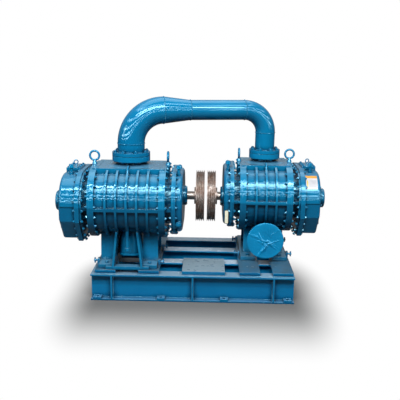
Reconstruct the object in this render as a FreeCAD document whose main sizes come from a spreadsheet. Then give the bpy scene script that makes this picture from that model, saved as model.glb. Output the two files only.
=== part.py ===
import FreeCAD, Part
import math
import os
import Sketcher

# Two-stage roots blower set on one welded base.
# The first stage (longer casing) stands left, the second stage right. They are the same design,
# turned half a revolution about the vertical, so that their drive shafts are in line.
# World frame: origin under the middle of the base, +X along the shafts, -Y to the front, +Z up.
# Stage frame: origin on the casing's drive end, midway between the shafts and at shaft height,
# +X towards the gear end.

doc = FreeCAD.newDocument("blower_set")
Vector = FreeCAD.Vector

# Driving dimensions in millimetres
SIZES = [
    ("base_length", 1490, "base, along the shafts"),
    ("base_width", 970, "base, over both long beams"),
    ("beam_height", 200, "rolled beam height"),
    ("beam_width", 100, "rolled beam flange width"),
    ("beam_web", 8, "rolled beam web thickness"),
    ("beam_flange", 12, "rolled beam flange thickness"),
    ("inner_beam_shift", 150, "inner long beams, from the middle"),
    ("stiffener_thick", 12, "web stiffener thickness"),
    ("stiffener_pitch", 593, "web stiffener pitch"),
    ("anchor_outer", 698, "outer foundation bolts, from the middle"),
    ("anchor_inner", 232, "inner foundation bolts, from the middle"),
    ("anchor_hole", 11, "foundation bolt hole radius"),
    ("tab_length", 58, "foundation tab, along the beam"),
    ("tab_width", 42, "foundation tab, across the beam"),
    ("tab_thick", 14, "foundation tab thickness"),
    ("deck_width", 152, "deck plate, along the shafts"),
    ("deck_length", 900, "deck plate, front to back"),
    ("deck_thick", 24, "deck plate thickness"),
    ("seat_length", 314, "middle seat plate, along the shafts"),
    ("seat_width", 300, "middle seat plate, front to back"),
    ("seat_thick", 25, "middle seat plate thickness"),
    ("seat_shift", 78, "middle seat plate, to the right of the middle"),
    ("shaft_height", 692, "shaft axis above the floor"),
    ("shaft_distance", 240, "between the two shafts of a stage"),
    ("shaft_radius", 32.5, "shaft, bearings and pulley seat"),
    ("rotor_gap", 0.5, "rotor to casing and rotor to rotor"),
    ("running_gap", 0.05, "shaft in bearing, radial"),
    ("first_length", 526, "first stage casing length"),
    ("second_length", 369, "second stage casing length"),
    ("first_drive_end", -220, "first stage casing's drive end"),
    ("second_drive_end", 356, "second stage casing's drive end"),
    ("barrel_wall", 42, "casing wall round the bores"),
    ("barrel_rise", 72, "barrel top above the rotor bore"),
    ("flange_reach", 30, "casing end flange beyond the barrel"),
    ("flange_thick", 32, "casing end flange thickness"),
    ("rib_reach", 28, "casing rib beyond the barrel"),
    ("rib_thick", 16, "casing rib thickness"),
    ("girdle_thick", 24, "lengthwise rib half way up the casing"),
    ("first_girdle_drop", 15, "first stage's lengthwise rib below the shafts"),
    ("second_girdle_drop", 0, "second stage's lengthwise rib below the shafts"),
    ("roof_half", 195, "half the width of the casing's flat roof"),
    ("rib_pitch", 75, "casing rib pitch"),
    ("corner_radius", 200, "barrel corner radius"),
    ("plate_thick", 72, "side plate between casing and gear case"),
    ("plate_rim", 14, "side plate rim thickness"),
    ("rim_reach", 6, "drive end rims beyond the barrel"),
    ("gear_rim_reach", 8, "side plate's gear end rim beyond the gear case"),
    ("shaft_clear", 5, "openings round the shaft, radial"),
    ("plate_waist", 74, "side plate waist inside the barrel outline"),
    ("lug_length", 30, "eye lug on a side plate, along the shafts"),
    ("lug_width", 56, "eye lug on a side plate, front to back"),
    ("cover_depth", 64, "drive cover depth"),
    ("cover_inset", 14, "drive cover inside the barrel outline"),
    ("cover_rim", 16, "drive cover flange thickness"),
    ("cover_round", 26, "rounding of the drive cover's outer edge"),
    ("gear_flange", 33, "gear case flange thickness"),
    ("gear_depth", 152, "gear case depth with its flange"),
    ("gear_flange_reach", 20, "gear case flange beyond the case"),
    ("case_flat", 6, "gear case corner radius short of its full height"),
    ("sump_depth", 262, "gear case sump below the shafts"),
    ("sump_shoulder", 100, "sump's upright side below the shafts"),
    ("sump_half", 215, "half the width of the sump's floor"),
    ("case_wall", 12, "gear case and drive cover wall"),
    ("case_round", 22, "rounding of the gear case's outer edge"),
    ("case_step", 7, "gear case's lower half inside its upper half"),
    ("drain_boss", 52, "square drain boss on the gear case"),
    ("drain_rise", 14, "drain boss beyond the gear case"),
    ("drain_drop", 164, "drain boss below the shafts"),
    ("drain_side", 185, "drain boss from the middle, to the front"),
    ("pad_root", 20, "cast pad's root inside its wall"),
    ("pad_stand", 2, "gauge pad and plug boss beyond the cover"),
    ("boss_depth", 60, "gauge pad and plug boss, into the cover"),
    ("first_foot_width", 112, "first stage foot, along the shafts"),
    ("second_foot_width", 62, "second stage foot, along the shafts"),
    ("foot_half", 172, "foot wall's half reach at the sole"),
    ("foot_top_half", 142, "foot wall's half reach under the casing"),
    ("foot_plate", 18, "foot wall thickness"),
    ("sole_thick", 28, "foot sole thickness"),
    ("sole_length", 112, "foot sole, along the shafts"),
    ("sole_half", 288, "half the sole, front to back"),
    ("foot_bolt_reach", 242, "foot bolt from the middle, front to back"),
    ("first_foot_pitch", 318, "first stage foot pitch"),
    ("second_foot_pitch", 244, "second stage foot pitch"),
    ("gusset_thick", 15, "leaning gusset thickness"),
    ("gusset_reach", 310, "leaning gusset's half reach"),
    ("gusset_lean", 32, "leaning gusset, outward at its foot"),
    ("bridge_thick", 20, "tie between the two soles"),
    ("bridge_depth", 60, "tie between the two soles, front to back"),
    ("drain_pipe", 11, "casing drain pipe radius"),
    ("drain_reach", 284, "casing drain pipe, from the middle"),
    ("drain_low", 332, "casing drain pipe's end below the shafts"),
    ("port_top", 333, "casing port face above the shafts"),
    ("port_flange", 38, "casing port flange thickness"),
    ("port_flare", 40, "foot of the port's neck beyond its flange"),
    ("nut_clear", 2, "round a nut or a bolt hole"),
    ("nut_room", 6, "under the lower nuts of the port"),
    ("gasket_thick", 3, "port gasket thickness"),
    ("pipe_flange", 24, "pipe flange thickness"),
    ("pipe_wall", 7, "crossover pipe wall"),
    ("pipe_height", 1359, "crossover pipe's middle above the floor"),
    ("first_pipe", 101.5, "crossover pipe radius at the first stage"),
    ("second_pipe", 76, "crossover pipe radius at the second stage"),
    ("first_port", 142, "first stage port flange radius"),
    ("second_port", 120, "second stage port flange radius"),
    ("first_bolts", 120, "first stage port bolt circle radius"),
    ("second_bolts", 99, "second stage port bolt circle radius"),
    ("first_bend", 245, "first stage elbow's middle radius"),
    ("second_bend", 175, "second stage elbow's middle radius"),
    ("reducer_length", 205, "crossover reducer length"),
    ("bolt_radius", 8, "flange bolt shank radius"),
    ("bolt_gap", 1, "flange bolt in its hole, radial"),
    ("nut_radius", 14, "flange nut and bolt head, over corners"),
    ("nut_height", 11, "flange nut and bolt head height"),
    ("bolt_tip", 5.5, "flange bolt beyond its nut"),
    ("bolt_short", 2, "foot bolt's end above the deck plate's underside"),
    ("outlet_drop", 285, "outlet's middle below the shafts"),
    ("outlet_reach", 372, "outlet face in front of the stage's middle"),
    ("outlet_radius", 80, "outlet pipe radius"),
    ("outlet_wall", 10, "outlet pipe wall"),
    ("outlet_flange", 135, "outlet flange radius"),
    ("outlet_thick", 24, "outlet flange thickness"),
    ("inlet_drop", 406, "first stage inlet face below the shafts"),
    ("inlet_half_length", 76, "half the inlet duct, along the shafts"),
    ("inlet_half_width", 182, "half the inlet duct, front to back"),
    ("inlet_wall", 14, "inlet duct wall"),
    ("inlet_corner", 46, "inlet duct corner radius"),
    ("film_gap", 0.3, "between the film and what it covers"),
    ("film_thick", 3, "protective film over a port"),
    ("film_skirt", 20, "protective film's skirt depth"),
    ("pulley_gap", 22, "between the two pulleys"),
    ("pulley_middle", 83.5, "middle between the pulleys"),
    ("pulley_radius", 198, "pulley outside radius"),
    ("pulley_width", 64, "pulley rim width"),
    ("groove_pitch", 15, "belt groove pitch"),
    ("groove_depth", 13, "belt groove depth"),
    ("groove_mouth", 11.5, "belt groove width at the rim"),
    ("groove_floor", 4, "belt groove width at its floor"),
    ("pulley_rim", 34, "pulley rim depth"),
    ("pulley_web", 22, "pulley web thickness"),
    ("hub_radius", 66, "pulley hub radius"),
    ("hub_reach", 14, "pulley hub beyond the rim"),
    ("tooth_count", 30, "timing gear teeth"),
    ("gear_face", 52, "timing gear face width"),
    ("gear_stand", 42, "timing gear from the side plate"),
    ("bearing_radius", 70, "bearing outside radius"),
    ("bearing_width", 34, "bearing width"),
    ("shaft_end", 10, "shaft beyond its timing gear"),
    ("idle_end", 20, "idle shaft beyond the drive side plate"),
    ("seal_cap_radius", 78, "shaft seal cap radius"),
    ("seal_cap_depth", 23, "shaft seal cap depth"),
    ("seal_cap_nose", 56, "shaft seal cap's nose radius"),
    ("end_cap_radius", 96, "gear case end cap radius"),
    ("end_cap_depth", 55, "gear case end cap depth"),
    ("end_cap_foot", 24, "gear case end cap's flange thickness"),
    ("end_cap_neck", 74, "gear case end cap's neck radius"),
    ("end_cap_bevel", 6, "gear case end cap's bevel"),
    ("jack_lug", 15, "jack screw lug thickness"),
    ("jack_lug_width", 40, "jack screw lug, front to back"),
    ("jack_lug_rise", 44, "jack screw lug above the deck"),
    ("jack_screw", 8, "jack screw radius"),
    ("jack_height", 26, "jack screw above the deck plate"),
    ("jack_bar", 5.5, "jack screw's cross bar radius"),
    ("jack_bar_length", 40, "jack screw's cross bar"),
    ("jack_out", 30, "jack screw beyond its lug"),
    ("jack_reach", 190, "jack screw from the middle, front to back"),
    ("hatch_length", 104, "inspection hatch, along the shafts"),
    ("hatch_width", 190, "inspection hatch, front to back"),
    ("hatch_thick", 16, "inspection hatch thickness"),
    ("hatch_rise", 14, "hatch seat above the gear case"),
    ("eye_radius", 35, "lifting eye's middle radius"),
    ("eye_bar", 8, "lifting eye bar radius"),
    ("eye_collar", 20, "lifting eye collar radius"),
    ("eye_rise", 26, "lifting eye stem height"),
    ("small_eye_radius", 15, "cover eye's middle radius"),
    ("small_eye_bar", 4, "cover eye bar radius"),
    ("small_eye_rise", 14, "cover eye stem height"),
    ("boss_radius", 17, "boss radius under a breather"),
    ("boss_rise", 12, "boss above the case top"),
    ("boss_shift", 42, "breather beyond a shaft's upright"),
    ("breather_radius", 20, "breather cap radius"),
    ("breather_crown", 15, "breather cap's top radius"),
    ("breather_stem", 10, "breather stem radius"),
    ("breather_height", 58, "breather height"),
    ("breather_cap", 26, "breather cap height"),
    ("gauge_width", 24, "oil gauge, along the shafts"),
    ("gauge_height", 96, "oil gauge height"),
    ("gauge_thick", 12, "oil gauge thickness"),
    ("gauge_drop", 118, "oil gauge's middle below the shafts"),
    ("plug_radius", 19, "oil level plug radius"),
    ("plug_thick", 15, "oil level plug thickness"),
    ("plug_neck", 11, "oil level plug's square head, as a radius"),
    ("plug_boss", 22, "oil level plug's boss radius"),
]

sheet = doc.addObject("Spreadsheet::Sheet", "Sizes")
for row, (alias, value, note) in enumerate(SIZES, start=1):
    sheet.set(f"A{row}", note)
    sheet.set(f"B{row}", str(value))
    sheet.setAlias(f"B{row}", alias)
doc.recompute()


class Measure:
    """A length that knows its value and the sheet formula behind it."""

    def __init__(self, value, text=None):
        self.value = float(value)
        self.text = text or repr(float(value))

    def __add__(self, other):
        other = measure(other)
        return Measure(self.value + other.value, f"({self.text} + {other.text})")

    def __sub__(self, other):
        other = measure(other)
        return Measure(self.value - other.value, f"({self.text} - {other.text})")

    def __mul__(self, other):
        other = measure(other)
        return Measure(self.value * other.value, f"({self.text} * {other.text})")

    def __truediv__(self, other):
        other = measure(other)
        return Measure(self.value / other.value, f"({self.text} / {other.text})")

    def __radd__(self, other):
        return measure(other) + self

    def __rsub__(self, other):
        return measure(other) - self

    def __rmul__(self, other):
        return measure(other) * self

    def __neg__(self):
        return Measure(-self.value, f"(0 - {self.text})")


def measure(number):
    """A plain number or a measure, as a measure."""
    return number if isinstance(number, Measure) else Measure(number)


class Dimensions:
    """The sheet's cells by name."""

    def __getattr__(self, name):
        return Measure(sheet.get(name), f"Sizes.{name}")


dim = Dimensions()
UPRIGHT = FreeCAD.Rotation()
ALONG_X = FreeCAD.Rotation(Vector(0, 1, 0), 90)
ALONG_Y = FreeCAD.Rotation(Vector(1, 0, 0), -90)
ACROSS_X = FreeCAD.Rotation(Vector(1, 1, 1), 120)
FACING_FRONT = FreeCAD.Rotation(Vector(1, 0, 0), 90)
HALF_TURN = FreeCAD.Rotation(Vector(0, 0, 1), 180)


def place(thing, at, rotation=UPRIGHT):
    """Puts an object at three measures and binds them to the sheet."""
    values = [measure(number) for number in at]
    thing.Placement = FreeCAD.Placement(Vector(*[number.value for number in values]), rotation)
    for letter, number in zip("xyz", values):
        thing.setExpression(f"Placement.Base.{letter}", number.text)
    return thing


def bind(thing, prop, number):
    """Binds one property to a measure."""
    thing.setExpression(prop, measure(number).text)


def box(low, size):
    """A block from its low corner and its three sides."""
    thing = doc.addObject("Part::Box", "block")
    for prop, number in zip(("Length", "Width", "Height"), size):
        bind(thing, prop, number)
    return place(thing, low)


def cylinder(radius, height, at, rotation=UPRIGHT):
    """A round bar from the middle of its low end."""
    thing = doc.addObject("Part::Cylinder", "bar")
    bind(thing, "Radius", radius)
    bind(thing, "Height", height)
    return place(thing, at, rotation)


def cone(low_radius, high_radius, height, at, rotation=UPRIGHT):
    """A cone frustum from the middle of its low end."""
    thing = doc.addObject("Part::Cone", "taper")
    bind(thing, "Radius1", low_radius)
    bind(thing, "Radius2", high_radius)
    bind(thing, "Height", height)
    return place(thing, at, rotation)


def fuse(pieces):
    """One solid of several overlapping ones."""
    if len(pieces) == 1:
        return pieces[0]
    thing = doc.addObject("Part::MultiFuse", "joined")
    thing.Shapes = pieces
    thing.Refine = True
    return thing


def cut(base, tools):
    """A solid less its holes."""
    thing = doc.addObject("Part::Cut", "opened")
    thing.Base = base
    thing.Tool = fuse(tools)
    thing.Refine = True
    return thing


def draw_outline(sketch, corners):
    """A closed outline. A corner is (x, y) when sharp and (x, y, radius) when round."""
    spots = []
    for corner in corners:
        x, y = measure(corner[0]), measure(corner[1])
        radius = measure(corner[2]) if len(corner) > 2 else None
        spots.append((x, y, radius))
    starts, ends, centres = [], [], []
    for index, (x, y, radius) in enumerate(spots):
        here = Vector(x.value, y.value, 0)
        before = Vector(spots[index - 1][0].value, spots[index - 1][1].value, 0) - here
        after_spot = spots[(index + 1) % len(spots)]
        after = Vector(after_spot[0].value, after_spot[1].value, 0) - here
        if radius is None:
            starts.append(here)
            ends.append(here)
            centres.append(None)
            continue
        half = before.getAngle(after) / 2
        trim = radius.value / math.tan(half)
        middle = (before.normalize() + after.normalize()).normalize()
        starts.append(here + before * trim)
        ends.append(here + after * trim)
        centres.append(here + middle * (radius.value / math.sin(half)))
    count = len(spots)
    for index in range(count):
        sketch.addGeometry(Part.LineSegment(ends[index], starts[(index + 1) % count]), False)
    origin = -1
    for index, (x, y, radius) in enumerate(spots):
        incoming = (index - 1) % count
        if radius is None:
            sketch.addConstraint(Sketcher.Constraint("Coincident", incoming, 2, index, 1))
            target, end = index, 1
        else:
            middle = (starts[index] + ends[index]) / 2 - centres[index]
            top = centres[index] + middle.normalize() * radius.value
            arc = sketch.addGeometry(Part.Arc(starts[index], top, ends[index]), False)
            first = sketch.Geometry[arc].StartPoint.distanceToPoint(starts[index]) < 1e-6
            sketch.addConstraint(Sketcher.Constraint("Tangent", incoming, 2, arc, 1 if first else 2))
            sketch.addConstraint(Sketcher.Constraint("Tangent", index, 1, arc, 2 if first else 1))
            number = sketch.addConstraint(Sketcher.Constraint("Radius", arc, radius.value))
            sketch.setExpression(f"Constraints[{number}]", radius.text)
            target = sketch.addGeometry(Part.Point(Vector(x.value, y.value, 0)), True)
            end = 1
            sketch.addConstraint(Sketcher.Constraint("PointOnObject", target, 1, incoming))
            sketch.addConstraint(Sketcher.Constraint("PointOnObject", target, 1, index))
        for kind, number in (("DistanceX", x), ("DistanceY", y)):
            pin = Sketcher.Constraint(kind, origin, 1, target, end, number.value)
            row = sketch.addConstraint(pin)
            sketch.setExpression(f"Constraints[{row}]", number.text)


def prism(corners, depth, at, rotation=ACROSS_X):
    """An outline drawn out square to its plane."""
    sketch = doc.addObject("Sketcher::SketchObject", "outline")
    draw_outline(sketch, corners)
    thing = doc.addObject("Part::Extrusion", "drawn_out")
    thing.Base = sketch
    thing.DirMode = "Normal"
    thing.Solid = True
    bind(thing, "LengthFwd", depth)
    return place(thing, at, rotation)


def turned(profile):
    """A turned piece from (radius, height) corners, round the Z axis."""
    body = doc.addObject("PartDesign::Body", "turned_piece")
    plane = [item for item in body.Origin.OriginFeatures if item.Role == "XZ_Plane"][0]
    sketch = body.newObject("Sketcher::SketchObject", "half_section")
    sketch.AttachmentSupport = [(plane, "")]
    sketch.MapMode = "FlatFace"
    draw_outline(sketch, profile)
    spin = body.newObject("PartDesign::Revolution", "turn")
    spin.Profile = sketch
    spin.ReferenceAxis = (sketch, ["V_Axis"])
    spin.Angle = 360
    body.Tip = spin
    return body


def rounded(half_width, half_height, radius):
    """The corners of a rounded rectangle about the origin."""
    return [
        (-half_width, -half_height, radius),
        (half_width, -half_height, radius),
        (half_width, half_height, radius),
        (-half_width, half_height, radius),
    ]


nodes = {}


def keep(label, thing, stage=None):
    """Names a finished sub-part and puts it at its stage's place."""
    thing.Label = label
    if stage is not None:
        place(thing, stage["at"], stage["rotation"])
    nodes[label] = thing
    return thing


def hexagon(radius, height):
    """A hexagon bar as a plain shape, for fasteners."""
    wire = Part.makePolygon([
        Vector(radius * math.cos(math.radians(turn)), radius * math.sin(math.radians(turn)), 0)
        for turn in range(0, 361, 60)
    ])
    return Part.Face(wire).extrude(Vector(0, 0, height))


def cap_screw(length):
    """Head and shank of one screw, head seated at z = 0."""
    shank = Part.makeCylinder(dim.bolt_radius.value, length, Vector(), Vector(0, 0, -1))
    return shank.fuse(hexagon(dim.nut_radius.value, dim.nut_height.value)).removeSplitter()


def eye(ring_radius, bar_radius, collar, rise, turn):
    """A lifting eye on a tapered stem, its hole along Y before the turn."""
    ring = Part.makeTorus(ring_radius, bar_radius)
    ring.rotate(Vector(), Vector(1, 0, 0), 90)
    ring.rotate(Vector(), Vector(0, 0, 1), turn)
    ring.translate(Vector(0, 0, rise + ring_radius))
    return Part.makeCone(collar, bar_radius, rise + bar_radius / 2).fuse(ring)


def through_bolt(grip):
    """Head, shank and nut of one flange bolt, with the grip from z = 0 up."""
    head = hexagon(dim.nut_radius.value, dim.nut_height.value)
    low = head.copy()
    low.translate(Vector(0, 0, -dim.nut_height.value))
    high = head.copy()
    high.translate(Vector(0, 0, grip))
    shank = Part.makeCylinder(dim.bolt_radius.value, grip + (2 * dim.nut_height + dim.bolt_tip).value)
    shank.translate(Vector(0, 0, -dim.nut_height.value))
    return shank.fuse([low, high]).removeSplitter()


def group(label, shapes, stage=None):
    """Separate solids of one kind in one node."""
    thing = doc.addObject("Part::Feature", label)
    thing.Shape = Part.makeCompound(shapes)
    return keep(label, thing, stage)


def ring_spots(radius, count, start):
    """Points evenly spaced on a circle, in the XY plane."""
    return [
        Vector(radius * math.cos(turn), radius * math.sin(turn), 0)
        for turn in (math.radians(start + 360 / count * step) for step in range(count))
    ]


# Stages: where each stands, and the sizes in which the two differ
FIRST = {
    "name": "first",
    "length": dim.first_length,
    "ribs": 5,
    "foot_pitch": dim.first_foot_pitch,
    "foot_width": dim.first_foot_width,
    "girdle": -dim.first_girdle_drop,
    "port": dim.first_port,
    "bolts": dim.first_bolts,
    "pipe": dim.first_pipe,
    "at": (dim.first_drive_end, -dim.shaft_distance / 2, dim.shaft_height),
    "rotation": HALF_TURN,
    "reach": dim.pulley_middle - dim.pulley_gap / 2 - dim.first_drive_end,
    "front": 1,
}
SECOND = {
    "name": "second",
    "length": dim.second_length,
    "ribs": 3,
    "foot_pitch": dim.second_foot_pitch,
    "foot_width": dim.second_foot_width,
    "girdle": -dim.second_girdle_drop,
    "port": dim.second_port,
    "bolts": dim.second_bolts,
    "pipe": dim.second_pipe,
    "at": (dim.second_drive_end, dim.shaft_distance / 2, dim.shaft_height),
    "rotation": UPRIGHT,
    "reach": dim.second_drive_end - dim.pulley_middle - dim.pulley_gap / 2,
    "front": -1,
}
half_distance = dim.shaft_distance / 2

# Three-lobed rotor: outside the pitch circle an epicycloid, inside it a hypocycloid
LOBES = 3
rotor_tip = half_distance + half_distance / LOBES
bore_radius = rotor_tip + dim.rotor_gap

barrel_half = half_distance + bore_radius + dim.barrel_wall
barrel_top = bore_radius + dim.barrel_rise

# The gear case's flange lines up with the end flange of the casing
gear_radius = barrel_half + dim.flange_reach - dim.gear_flange_reach - half_distance

# Where the cast-on pieces end inside the barrel, below the shafts
foot_root = barrel_top * 0.64
duct_root = barrel_top * 0.8
drain_root = barrel_top * 0.4
flange_outline = rounded(
    barrel_half + dim.flange_reach, barrel_top + dim.flange_reach, dim.corner_radius + dim.flange_reach
)


def flank_points(start, outward, steps=10):
    """One lobe (outward 1) or hollow (outward -1) of a rotor from an angle on, half the gap inside."""
    pitch = half_distance.value
    roll = pitch / LOBES / 2
    span = math.pi / LOBES
    reach = pitch + outward * roll
    points = []
    for step in range(steps + 1):
        turn = span * step / steps
        angle = start + turn
        contact = Vector(pitch * math.cos(angle), pitch * math.sin(angle), 0)
        if step in (0, steps):
            here = contact
            outside = Vector(-math.sin(angle), math.cos(angle), 0) * (outward if step else -outward)
        else:
            swing = start + outward * reach / roll * turn
            here = Vector(
                reach * math.cos(angle) - outward * roll * math.cos(swing),
                reach * math.sin(angle) - outward * roll * math.sin(swing),
                0,
            )
            outside = (here - contact) * outward
        points.append(here - outside.normalize() * (dim.rotor_gap.value / 2))
    return points


def rotor_shape(length):
    """The lobes of one rotor round the Z axis, bored for its shaft."""
    edges = []
    for lobe in range(LOBES):
        start = math.pi / 2 + 2 * math.pi * lobe / LOBES - math.pi / LOBES / 2
        for outward in (1, -1):
            curve = Part.BSplineCurve()
            curve.interpolate(flank_points(start, outward))
            edges.append(curve.toShape())
            start += math.pi / LOBES
    outline = Part.Wire(Part.__sortEdges__(edges))
    lobes = Part.Face(outline).extrude(Vector(0, 0, length))
    return lobes.cut(Part.makeCylinder(dim.shaft_radius.value, length))


# Timing gear teeth: pressure angle, then root, flank and tip beside the pitch circle in modules,
# and the tooth's share of its half pitch
PRESSURE = math.radians(20)
ROOT, LOW_FLANK, HIGH_FLANK, TIP = -1.15, -0.4, 0.3, 0.9
TOOTH_SHARE = 0.94


def gear_shape(turn):
    """One spur gear round the Z axis with involute teeth, turned by an angle in degrees."""
    count = int(dim.tooth_count.value)
    pitch = half_distance.value
    module = 2 * pitch / count
    ground = pitch * math.cos(PRESSURE)
    radii = [pitch + ROOT * module, ground] + [pitch + part * module for part in (LOW_FLANK, HIGH_FLANK, TIP)]
    half_tooth = math.pi / count / 2 * TOOTH_SHARE
    points = []
    for tooth in range(count):
        middle = 2 * math.pi * tooth / count + math.radians(turn)
        flank = []
        for radius in radii:
            angle = math.acos(min(1, ground / radius))
            spread = half_tooth + (math.tan(PRESSURE) - PRESSURE) - (math.tan(angle) - angle)
            flank.append((radius, spread))
        for radius, spread in flank:
            points.append(Vector(radius * math.cos(middle - spread), radius * math.sin(middle - spread), 0))
        for radius, spread in reversed(flank):
            points.append(Vector(radius * math.cos(middle + spread), radius * math.sin(middle + spread), 0))
    points.append(points[0])
    blank = Part.Face(Part.makePolygon(points)).extrude(Vector(0, 0, dim.gear_face.value))
    return blank.cut(Part.makeCylinder(dim.shaft_radius.value, dim.gear_face.value))


def keep_along(label, thing, stage, at, rotation=ALONG_X):
    """Names a piece made round the Z axis and lays it at a point of the stage frame."""
    sign = stage["sign"]
    spot = (
        stage["at"][0] + sign * measure(at[0]),
        stage["at"][1] + sign * measure(at[1]),
        stage["at"][2] + measure(at[2]),
    )
    thing.Label = label
    place(thing, spot, stage["rotation"].multiply(rotation))
    nodes[label] = thing


def plain(label, shape):
    """A sub-part whose form is set by formula."""
    thing = doc.addObject("Part::Feature", label)
    thing.Shape = shape
    return thing


FIRST["sign"] = -1
SECOND["sign"] = 1
deck_top = dim.beam_height + dim.deck_thick
foot_drop = dim.shaft_height - deck_top
port_low = dim.port_top - dim.port_flange
bolt_hole = dim.bolt_radius + dim.bolt_gap
cover_half = barrel_half - dim.cover_inset
cover_top = barrel_top - dim.cover_inset
cover_corner = dim.corner_radius - dim.cover_inset
cover_face = dim.plate_thick + dim.cover_depth
rim_outline = rounded(
    barrel_half + dim.rim_reach, barrel_top + dim.rim_reach, dim.corner_radius + dim.rim_reach
)


def case_outline(grow):
    """Gear case outline: round above, with a sump that narrows below, grown on every side."""
    half = half_distance + gear_radius + grow
    top = gear_radius + grow
    floor_half = dim.sump_half + grow * 0.6
    shoulder = dim.sump_shoulder + grow / 2
    return [
        (-floor_half, -dim.sump_depth - grow),
        (floor_half, -dim.sump_depth - grow),
        (half, -shoulder),
        (half, top, top - dim.case_flat),
        (-half, top, top - dim.case_flat),
        (-half, -shoulder),
    ]


def foot(stage, middle):
    """One cast foot: a crosswise web between a front and a rear wall, on one long sole."""
    width = stage["foot_width"]
    low_corner, high_corner = (-dim.foot_half, -foot_drop), (-dim.foot_top_half, -foot_root)
    slant = [
        low_corner,
        (low_corner[0] + dim.foot_plate, low_corner[1]),
        (high_corner[0] + dim.foot_plate, high_corner[1]),
        high_corner,
    ]
    mirrored = [(-x, z) for x, z in reversed(slant)]
    web = [low_corner, mirrored[3], mirrored[0], high_corner]
    return [
        prism(web, dim.foot_plate, (middle - dim.foot_plate / 2, 0, 0)),
        prism(slant, width, (middle - width / 2, 0, 0)),
        prism(mirrored, width, (middle - width / 2, 0, 0)),
        box((middle - dim.sole_length / 2, -dim.sole_half, -foot_drop),
            (dim.sole_length, dim.sole_half * 2, dim.sole_thick)),
    ]


def duct_outline(grow):
    """The inlet duct's rounded outline, grown on every side."""
    return rounded(dim.inlet_half_length + grow, dim.inlet_half_width + grow, dim.inlet_corner + grow)


def inlet(middle):
    """The first stage's inlet duct between its feet, with leaning gussets, ties and a drain pipe."""
    up = -duct_root
    at = (middle, 0, -dim.inlet_drop)
    pieces = [prism(duct_outline(0), dim.inlet_drop - duct_root, at, UPRIGHT)]
    holes = [prism(duct_outline(-dim.inlet_wall), dim.inlet_drop, at, UPRIGHT)]
    for side in (-1, 1):
        x = middle + side * dim.rib_pitch
        foot_x = x + side * dim.gusset_lean
        thick = dim.gusset_thick / 2
        lean = [(foot_x - thick, -foot_drop), (foot_x + thick, -foot_drop), (x + thick, up), (x - thick, up)]
        inner = dim.foot_half - dim.foot_plate
        for reach in (-inner, dim.gusset_reach):
            pieces.append(prism(lean, dim.gusset_reach - inner, (0, reach, 0), FACING_FRONT))
    sole = dim.first_foot_pitch
    for edge in (-dim.gusset_reach, dim.gusset_reach - dim.bridge_depth):
        pieces.append(box((middle - sole / 2, edge, -foot_drop), (sole, dim.bridge_depth, dim.bridge_thick)))
    for side in (-1, 1):
        spout_y = side * dim.drain_reach
        low_end = (middle, spout_y, -dim.drain_low)
        pieces.append(cylinder(dim.drain_pipe, dim.drain_low - drain_root, low_end))
        pieces.append(cylinder(dim.drain_pipe * 3 / 2, dim.drain_pipe * 2, low_end))
    return pieces, holes


def casing(stage):
    """The ribbed cylinder casting with its ports and feet."""
    length = stage["length"]
    middle = length / 2
    pieces = [prism(rounded(barrel_half, barrel_top, dim.corner_radius), length, (0, 0, 0))]
    for low in (0, length - dim.flange_thick):
        pieces.append(prism(flange_outline, dim.flange_thick, (low, 0, 0)))
    rib = rounded(barrel_half + dim.rib_reach, barrel_top + dim.rib_reach, dim.corner_radius + dim.rib_reach)
    for index in range(stage["ribs"]):
        low = middle + (index - (stage["ribs"] - 1) / 2) * dim.rib_pitch - dim.rib_thick / 2
        pieces.append(prism(rib, dim.rib_thick, (low, 0, 0)))
    girdle = barrel_half + dim.rib_reach
    pieces.append(box((0, -girdle, stage["girdle"] - dim.girdle_thick / 2),
                      (length, girdle * 2, dim.girdle_thick)))
    roof_top = barrel_top + dim.rib_reach
    pieces.append(box((0, -dim.roof_half, barrel_top - dim.pad_root),
                      (length, dim.roof_half * 2, dim.rib_reach + dim.pad_root)))
    neck = stage["bolts"] - dim.nut_radius - dim.nut_clear
    flare = port_low - dim.nut_height - dim.nut_room - roof_top
    pieces.append(cone(stage["port"] + dim.port_flare, neck, flare, (middle, 0, roof_top)))
    pieces.append(cylinder(neck, port_low - barrel_top, (middle, 0, barrel_top)))
    pieces.append(cylinder(stage["port"], dim.port_flange, (middle, 0, port_low)))
    for side in (-1, 1):
        pieces += foot(stage, middle + side * stage["foot_pitch"] / 2)
    duct = stage["pipe"] - dim.pipe_wall
    holes = [
        cylinder(bore_radius, length, (0, -half_distance, 0), ALONG_X),
        cylinder(bore_radius, length, (0, half_distance, 0), ALONG_X),
        cylinder(duct, dim.port_top, (middle, 0, 0)),
    ]
    for spot in ring_spots(1, 8, 22.5):
        x = middle + stage["bolts"] * spot.x
        holes.append(cylinder(bolt_hole, dim.port_flange, (x, stage["bolts"] * spot.y, port_low)))
    if stage is FIRST:
        duct_pieces, duct_holes = inlet(middle)
        pieces += duct_pieces
        holes += duct_holes
    else:
        inside = dim.outlet_radius - dim.outlet_wall
        bend_at = (middle, 0, -dim.outlet_drop)
        face_at = (middle, -dim.outlet_reach, -dim.outlet_drop)
        for radius, target in ((dim.outlet_radius, pieces), (inside, holes)):
            ball = doc.addObject("Part::Sphere", "bend")
            bind(ball, "Radius", radius)
            target.append(place(ball, bend_at))
            target.append(cylinder(radius, dim.outlet_drop, bend_at))
            target.append(cylinder(radius, dim.outlet_reach, face_at, ALONG_Y))
        pieces.append(cylinder(dim.outlet_flange, dim.outlet_thick, face_at, ALONG_Y))
    for side in (-1, 1):
        for edge in (-1, 1):
            x = middle + side * stage["foot_pitch"] / 2
            holes.append(cylinder(bolt_hole, dim.sole_thick, (x, edge * dim.foot_bolt_reach, -foot_drop)))
    keep(stage["name"] + "_casing", cut(fuse(pieces), holes), stage)


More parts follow.
